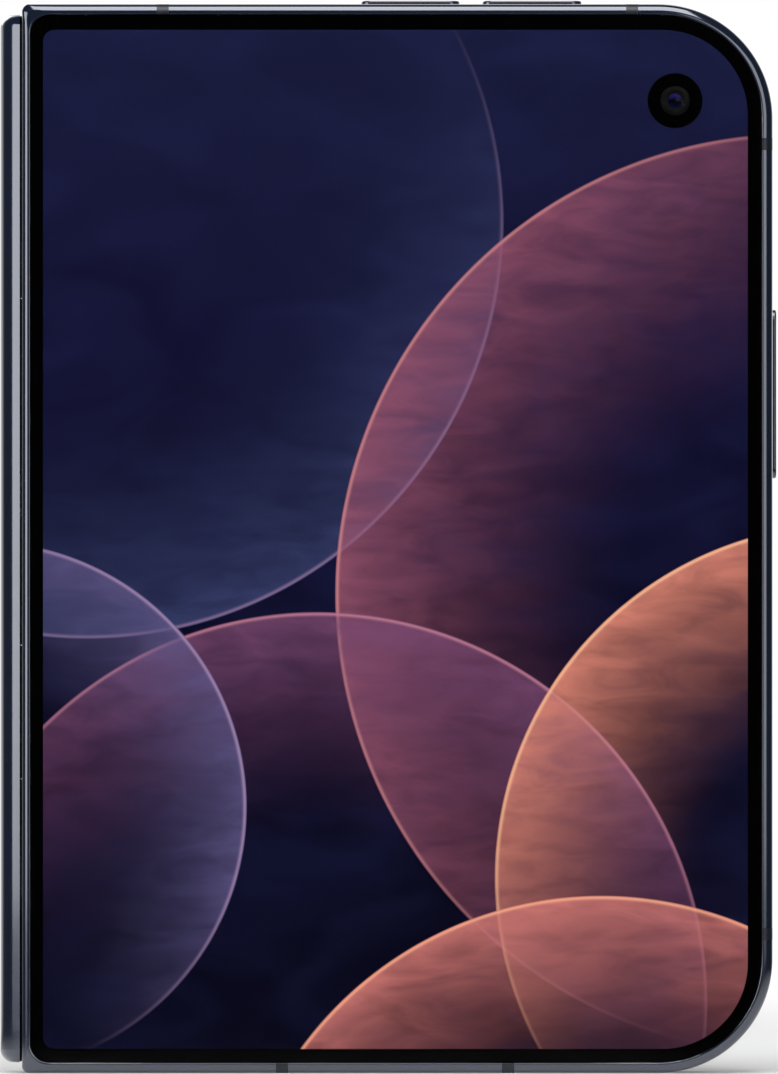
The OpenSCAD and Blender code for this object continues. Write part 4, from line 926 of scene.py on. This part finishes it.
# ----- finishes of the CAD nodes that stay
node_finishes = (
    (hinge_steel, "friction_plate fold_support_bar front_sync_shaft rear_sync_shaft front_sync_arm rear_sync_arm "
                  "front_swing_arms rear_swing_arms"),
    (gap_shade_brackets, "hinge_brackets sync_bracket"), (spring_steel, "torque_springs"),
    (screw_steel, "bracket_screws front_arm_screws rear_arm_screws"),
    (gear_brass, "front_idler_gear rear_idler_gear"), (magnet_metal, "front_magnets rear_magnets"),
    (shield_metal, "shield_cans haptic_motor card_socket"), (switch_metal, "button_switches"),
    (plate_steel, "front_inner_plate rear_inner_plate"), (foil, "front_battery rear_battery"),
    (board, "front_board logic_board charging_board"), (copper, "charging_coil"),
    (speaker_plastic, "earpiece bottom_speaker"), (border_ink, "camera_mask_ring"),
    (cover_picture, "cover_display"), (inner_picture[FRONT], "inner_display_front"),
    (inner_picture[REAR], "inner_display_rear"),
)
for finish, nodes in node_finishes:
    for node in nodes.split():
        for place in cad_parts[node].material_slots:
            place.material = finish


# ----- floor, light and camera
DIM_ROOM, ROOM_LIGHT, FLOOR_GLOW = 0.06, 0.28, 0.12
DIM_BELOW, WHITE_ABOVE = 0.45, 0.85  # share of a direction along y
SHADOW_KEPT, SHADOW_GONE = (40.0, 150.0), (160.0, 450.0)  # millimetres from the phone, in mirrors and for the camera
LAMPS = (  # place, width, height, radiance
    ("top_softbox", (0.0, -0.5, 1.06), 0.7, 0.98, 4.4),
    ("left_softbox", (-0.92, -0.62, 0.2), 0.68, 0.9, 3.1),
    ("right_softbox", (0.55, -1.28, 0.2), 0.86, 0.9, 1.7),
    ("rear_softbox", (-0.6, 1.1, 0.6), 0.6, 0.6, 2.0),
)


def studio_level(f, along_y):
    """How bright the room is in a direction, by its share along y. The camera sees white. Metal and glass mirror
    white behind the phone and a dim room in front of it. Also whether a ray is one of these three kinds, and
    whether it is the camera's."""
    path = f.add("LightPath").outputs
    by_camera = path["Is Camera Ray"]
    seen = f.sum("MAXIMUM", f.sum("MAXIMUM", by_camera, path["Is Glossy Ray"]), path["Is Transmission Ray"])
    behind = f.range(along_y, DIM_BELOW, WHITE_ABOVE, DIM_ROOM, smooth=True)
    return f.add("Mix", {0: by_camera, 2: behind, 3: 1.0}).outputs[0], seen, by_camera


def floor():
    """Pale floor that keeps the shadow near the phone and fades into the room further away, in mirrors sooner."""
    mesh = bpy.data.meshes.new("floor")
    half, low = 1.6, -0.02 * MM
    mesh.from_pydata([(-half, -half, low), (half, -half, low), (half, half, low), (-half, half, low)], [],
                     [(0, 1, 2, 3)])
    made = placed("floor", mesh)
    f = Finish("pale_floor", Base_Color=(0.86, 0.86, 0.86), Roughness=0.8, Specular_IOR_Level=0.1,
               Emission_Color=(1.0, 1.0, 1.0))
    away = f.vector("LENGTH", f.mm)
    along_y = f.sum("DIVIDE", f.add("SeparateXYZ", {0: f.mm}).outputs[1], away)
    level, seen, by_camera = studio_level(f, along_y)
    f.set(Emission_Strength=f.sum("MULTIPLY", seen, FLOOR_GLOW))
    room_light = f.add("Emission", {"Strength": level}).outputs[0]
    kept, gone = (f.sum("MULTIPLY_ADD", by_camera, camera_place - mirror_place, mirror_place)
                  for mirror_place, camera_place in (SHADOW_KEPT, SHADOW_GONE))
    faded = f.sum("MULTIPLY", f.range(away, kept, gone, smooth=True), seen)
    both = f.add("MixShader", {0: faded, 1: f.shader.outputs[0], 2: room_light}).outputs[0]
    f.put(f.tree.nodes["Material Output"].inputs["Surface"], both)
    mesh.materials.append(f.material)


def room():
    """Pale room, dimmer as light than it looks."""
    world = bpy.data.worlds.new("studio")
    bpy.context.scene.world = world
    world.use_nodes = True
    f = Nodes(world.node_tree)
    place = f.add("TexCoord").outputs["Generated"]
    shown, seen, _ = studio_level(f, f.add("SeparateXYZ", {0: place}).outputs[1])
    back = f.tree.nodes["Background"].inputs
    f.put(back["Color"], (1, 1, 1))
    f.put(back["Strength"], f.add("Mix", {0: seen, 2: ROOM_LIGHT, 3: shown}).outputs[0])


def softbox(name, place, width, height, radiance):
    """An area lamp that shines at the phone's middle. Its power is the radiance times pi times its area."""
    lamp = bpy.data.lights.new(name, "AREA")
    lamp.shape, lamp.size, lamp.size_y = "RECTANGLE", width, height
    lamp.energy = radiance * math.pi * width * height
    made = placed(name, lamp)
    made.location = place
    made.rotation_mode = "QUATERNION"
    made.rotation_quaternion = (Vector(place) - Vector((0, 0, 0.06))).to_track_quat("Z", "Y")
    made.visible_camera = False


floor()
room()
for lamp in LAMPS:
    softbox(*lamp)

# a long lens 2.5 m in front of the phone's middle, for the photo's straight view
camera_data = bpy.data.cameras.new("camera")
camera_data.lens, camera_data.sensor_width = 743.0, 36.0
camera_data.clip_start, camera_data.clip_end = 0.1, 50.0
camera = placed("camera", camera_data)
camera.location = (0.056 * MM, -2.5066, 60.48 * MM)
camera.rotation_euler = (math.pi / 2, 0, 0)
bpy.context.scene.camera = camera
bpy.context.scene.view_settings.view_transform = "Standard"
